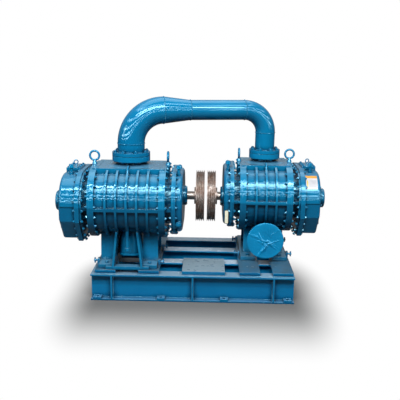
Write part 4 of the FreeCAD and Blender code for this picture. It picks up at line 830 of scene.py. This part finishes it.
crease_random = random.Random(11)
creases = []
for origin, spread_from, spread_to, count, tall, wide in (
    ((0.0, -0.045), 225, 290, 5, 0.0045, 0.008), ((-0.01, -0.02), 95, 150, 4, 0.004, 0.007),
    ((0.02, -0.01), 310, 380, 5, 0.004, 0.006), ((-0.05, 0.02), 150, 200, 3, 0.003, 0.006),
    ((0.03, 0.04), 20, 100, 3, 0.003, 0.005),
):
    for _ in range(count):
        angle = math.radians(crease_random.uniform(spread_from, spread_to))
        shift = Vector((crease_random.uniform(-0.015, 0.015), crease_random.uniform(-0.015, 0.015)))
        begin = Vector(origin) + shift
        end = begin + Vector((math.cos(angle), math.sin(angle))) * crease_random.uniform(0.05, 0.11)
        crest = tall * crease_random.uniform(0.7, 1.3)
        creases.append((begin, end, crest, wide * crease_random.uniform(0.6, 1.3)))


def waves(x, z, scale, seed):
    """Soft unevenness of the film."""
    return noise.noise(Vector((x * scale, z * scale, seed)))


def crease_height(x, z):
    """How far the film stands off the flange at a point of its face."""
    total = 0.0012 + 0.0010 * waves(x, z, 22, 3.1) + 0.0006 * waves(x, z, 60, 8)
    here = Vector((x, z))
    for begin, end, tall, width in creases:
        way = end - begin
        share = max(0.0, min(1.0, (here - begin).dot(way) / way.length_squared))
        away = (here - begin - way * share).length
        total += tall * (1 - 0.55 * share) * math.exp(-(away / width) ** 2)
    return max(total, 0.0)


shape = bmesh.new()
rim_radius = (film_high[0] - film_low[0]) / 2
film_face = film_low[1] + 0.0028
spokes, hoops, rim_folds, skirt = 150, 46, 31, 0.0205
rings = []
for hoop in range(1, hoops + 1):
    ring = []
    for x, z in round_spots(spokes, rim_radius * hoop / hoops, 0):
        stand = crease_height(x, z) * min(1.0, (hoops - hoop) / 5 + 0.25)
        ring.append(shape.verts.new((outlet_middle[0] + x, film_face - stand, outlet_middle[1] + z)))
    rings.append(ring)
for back, pull in ((0.0045, 0.0008), (0.010, 0.0004), (0.016, 0.0002), (skirt, -0.0008)):
    ring = []
    for spoke in range(spokes):
        turn = math.tau * spoke / spokes
        pucker = 0.0009 * math.sin(turn * rim_folds + 2 * noise.noise(Vector((spoke * 0.2, back * 40, 1))))
        radius = rim_radius + pull + pucker * (back / skirt)
        ring.append(shape.verts.new((outlet_middle[0] + radius * math.cos(turn), film_low[1] + back,
                                     outlet_middle[1] + radius * math.sin(turn))))
    rings.append(ring)
hub = shape.verts.new((outlet_middle[0], film_face - crease_height(0, 0), outlet_middle[1]))
for spoke in range(spokes):
    shape.faces.new((hub, rings[0][spoke], rings[0][(spoke + 1) % spokes])).smooth = True
skinned(shape, rings)
bmesh.ops.recalc_face_normals(shape, faces=shape.faces)
outlet_film = plain_mesh("outlet_film", shape, film)
if outlet_film.data.polygons[0].normal.y > 0:
    outlet_film.data.flip_normals()
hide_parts("second_port_film")

# The same film over the first stage's inlet, which faces down between the feet: a flat round-cornered
# sheet turned up round the flange's edge.
low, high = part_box("first_port_film")
middle_x, middle_y = (low[0] + high[0]) / 2, (low[1] + high[1]) / 2
corner_radius, edge_count, edge_folds = 0.046, 160, 37
sheet_lift, turned_up = 0.0014, 0.93
edge_outline = block_outline((high[1] - low[1]) / 2, (high[0] - low[0]) / 2, corner_radius)
edge_points = outline_spots(edge_outline, edge_count)
shape = bmesh.new()
rings = []
for inset, height in ((0.0, 0.0), (0.25, 0.0), (0.5, 0.0), (0.75, 0.0), (0.93, 0.0), (0.99, 0.0008),
                      (1.0, 0.004), (1.0, 0.010), (1.0, 0.0165), (1.0, high[2] - low[2])):
    ring = []
    for index, spot in enumerate(edge_points):
        pucker = 1.0 + 0.004 * math.sin(index * math.tau * edge_folds / edge_count) * height / 0.02
        sag = 0.0012 * waves(spot.x, spot.y, inset * 30, 2) if height < 0.001 else 0
        share = max(inset, 0.001) * pucker
        ring.append(shape.verts.new((middle_x + spot.y * share, middle_y + spot.x * share,
                                     low[2] + sheet_lift + height * turned_up + sag)))
    rings.append(ring)
skinned(shape, rings)
bmesh.ops.remove_doubles(shape, verts=shape.verts, dist=0.0003)
bmesh.ops.recalc_face_normals(shape, faces=shape.faces)
inlet_film = plain_mesh("inlet_film", shape, film)
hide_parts("first_port_film")

# A blank data sticker on the curve of the second gear case: white vinyl with a plain amber band
# along its top, an amber bar down its side and a pale grey field.
case_corner_y, case_corner_z, case_corner = -0.006, shaft_height + 0.006, 0.2072
for name, from_turn, to_turn, from_x, to_x, lift, colour in (
    ("sticker_white", 29.5, 56.0, 0.838, 0.924, 0, (0.46, 0.45, 0.47, 1)),
    ("sticker_amber", 56.0, 64.0, 0.838, 0.924, 0, (0.50, 0.22, 0.012, 1)),
    ("sticker_bar", 34.0, 50.0, 0.846, 0.853, 0.0003, (0.50, 0.36, 0.012, 1)),
    ("sticker_field", 33.0, 51.0, 0.859, 0.917, 0.0003, (0.36, 0.36, 0.39, 1)),
):
    worn = tuple(part * 0.86 for part in colour[:3]) + (1,)
    vinyl = mottled(name + "_vinyl", 40, 5, (0.4, 0.7, 0.0, 0.8), colour, worn, 0.35)
    shape = bmesh.new()
    grid = []
    stand = case_corner + lift
    for step in range(13):
        turn = math.radians(from_turn + (to_turn - from_turn) * step / 12)
        y, z = case_corner_y - stand * math.cos(turn), case_corner_z + stand * math.sin(turn)
        grid.append([shape.verts.new((from_x + (to_x - from_x) * part / 3, y, z)) for part in range(4)])
    skinned(shape, grid, closed=False)
    plain_mesh(name, shape, vinyl)
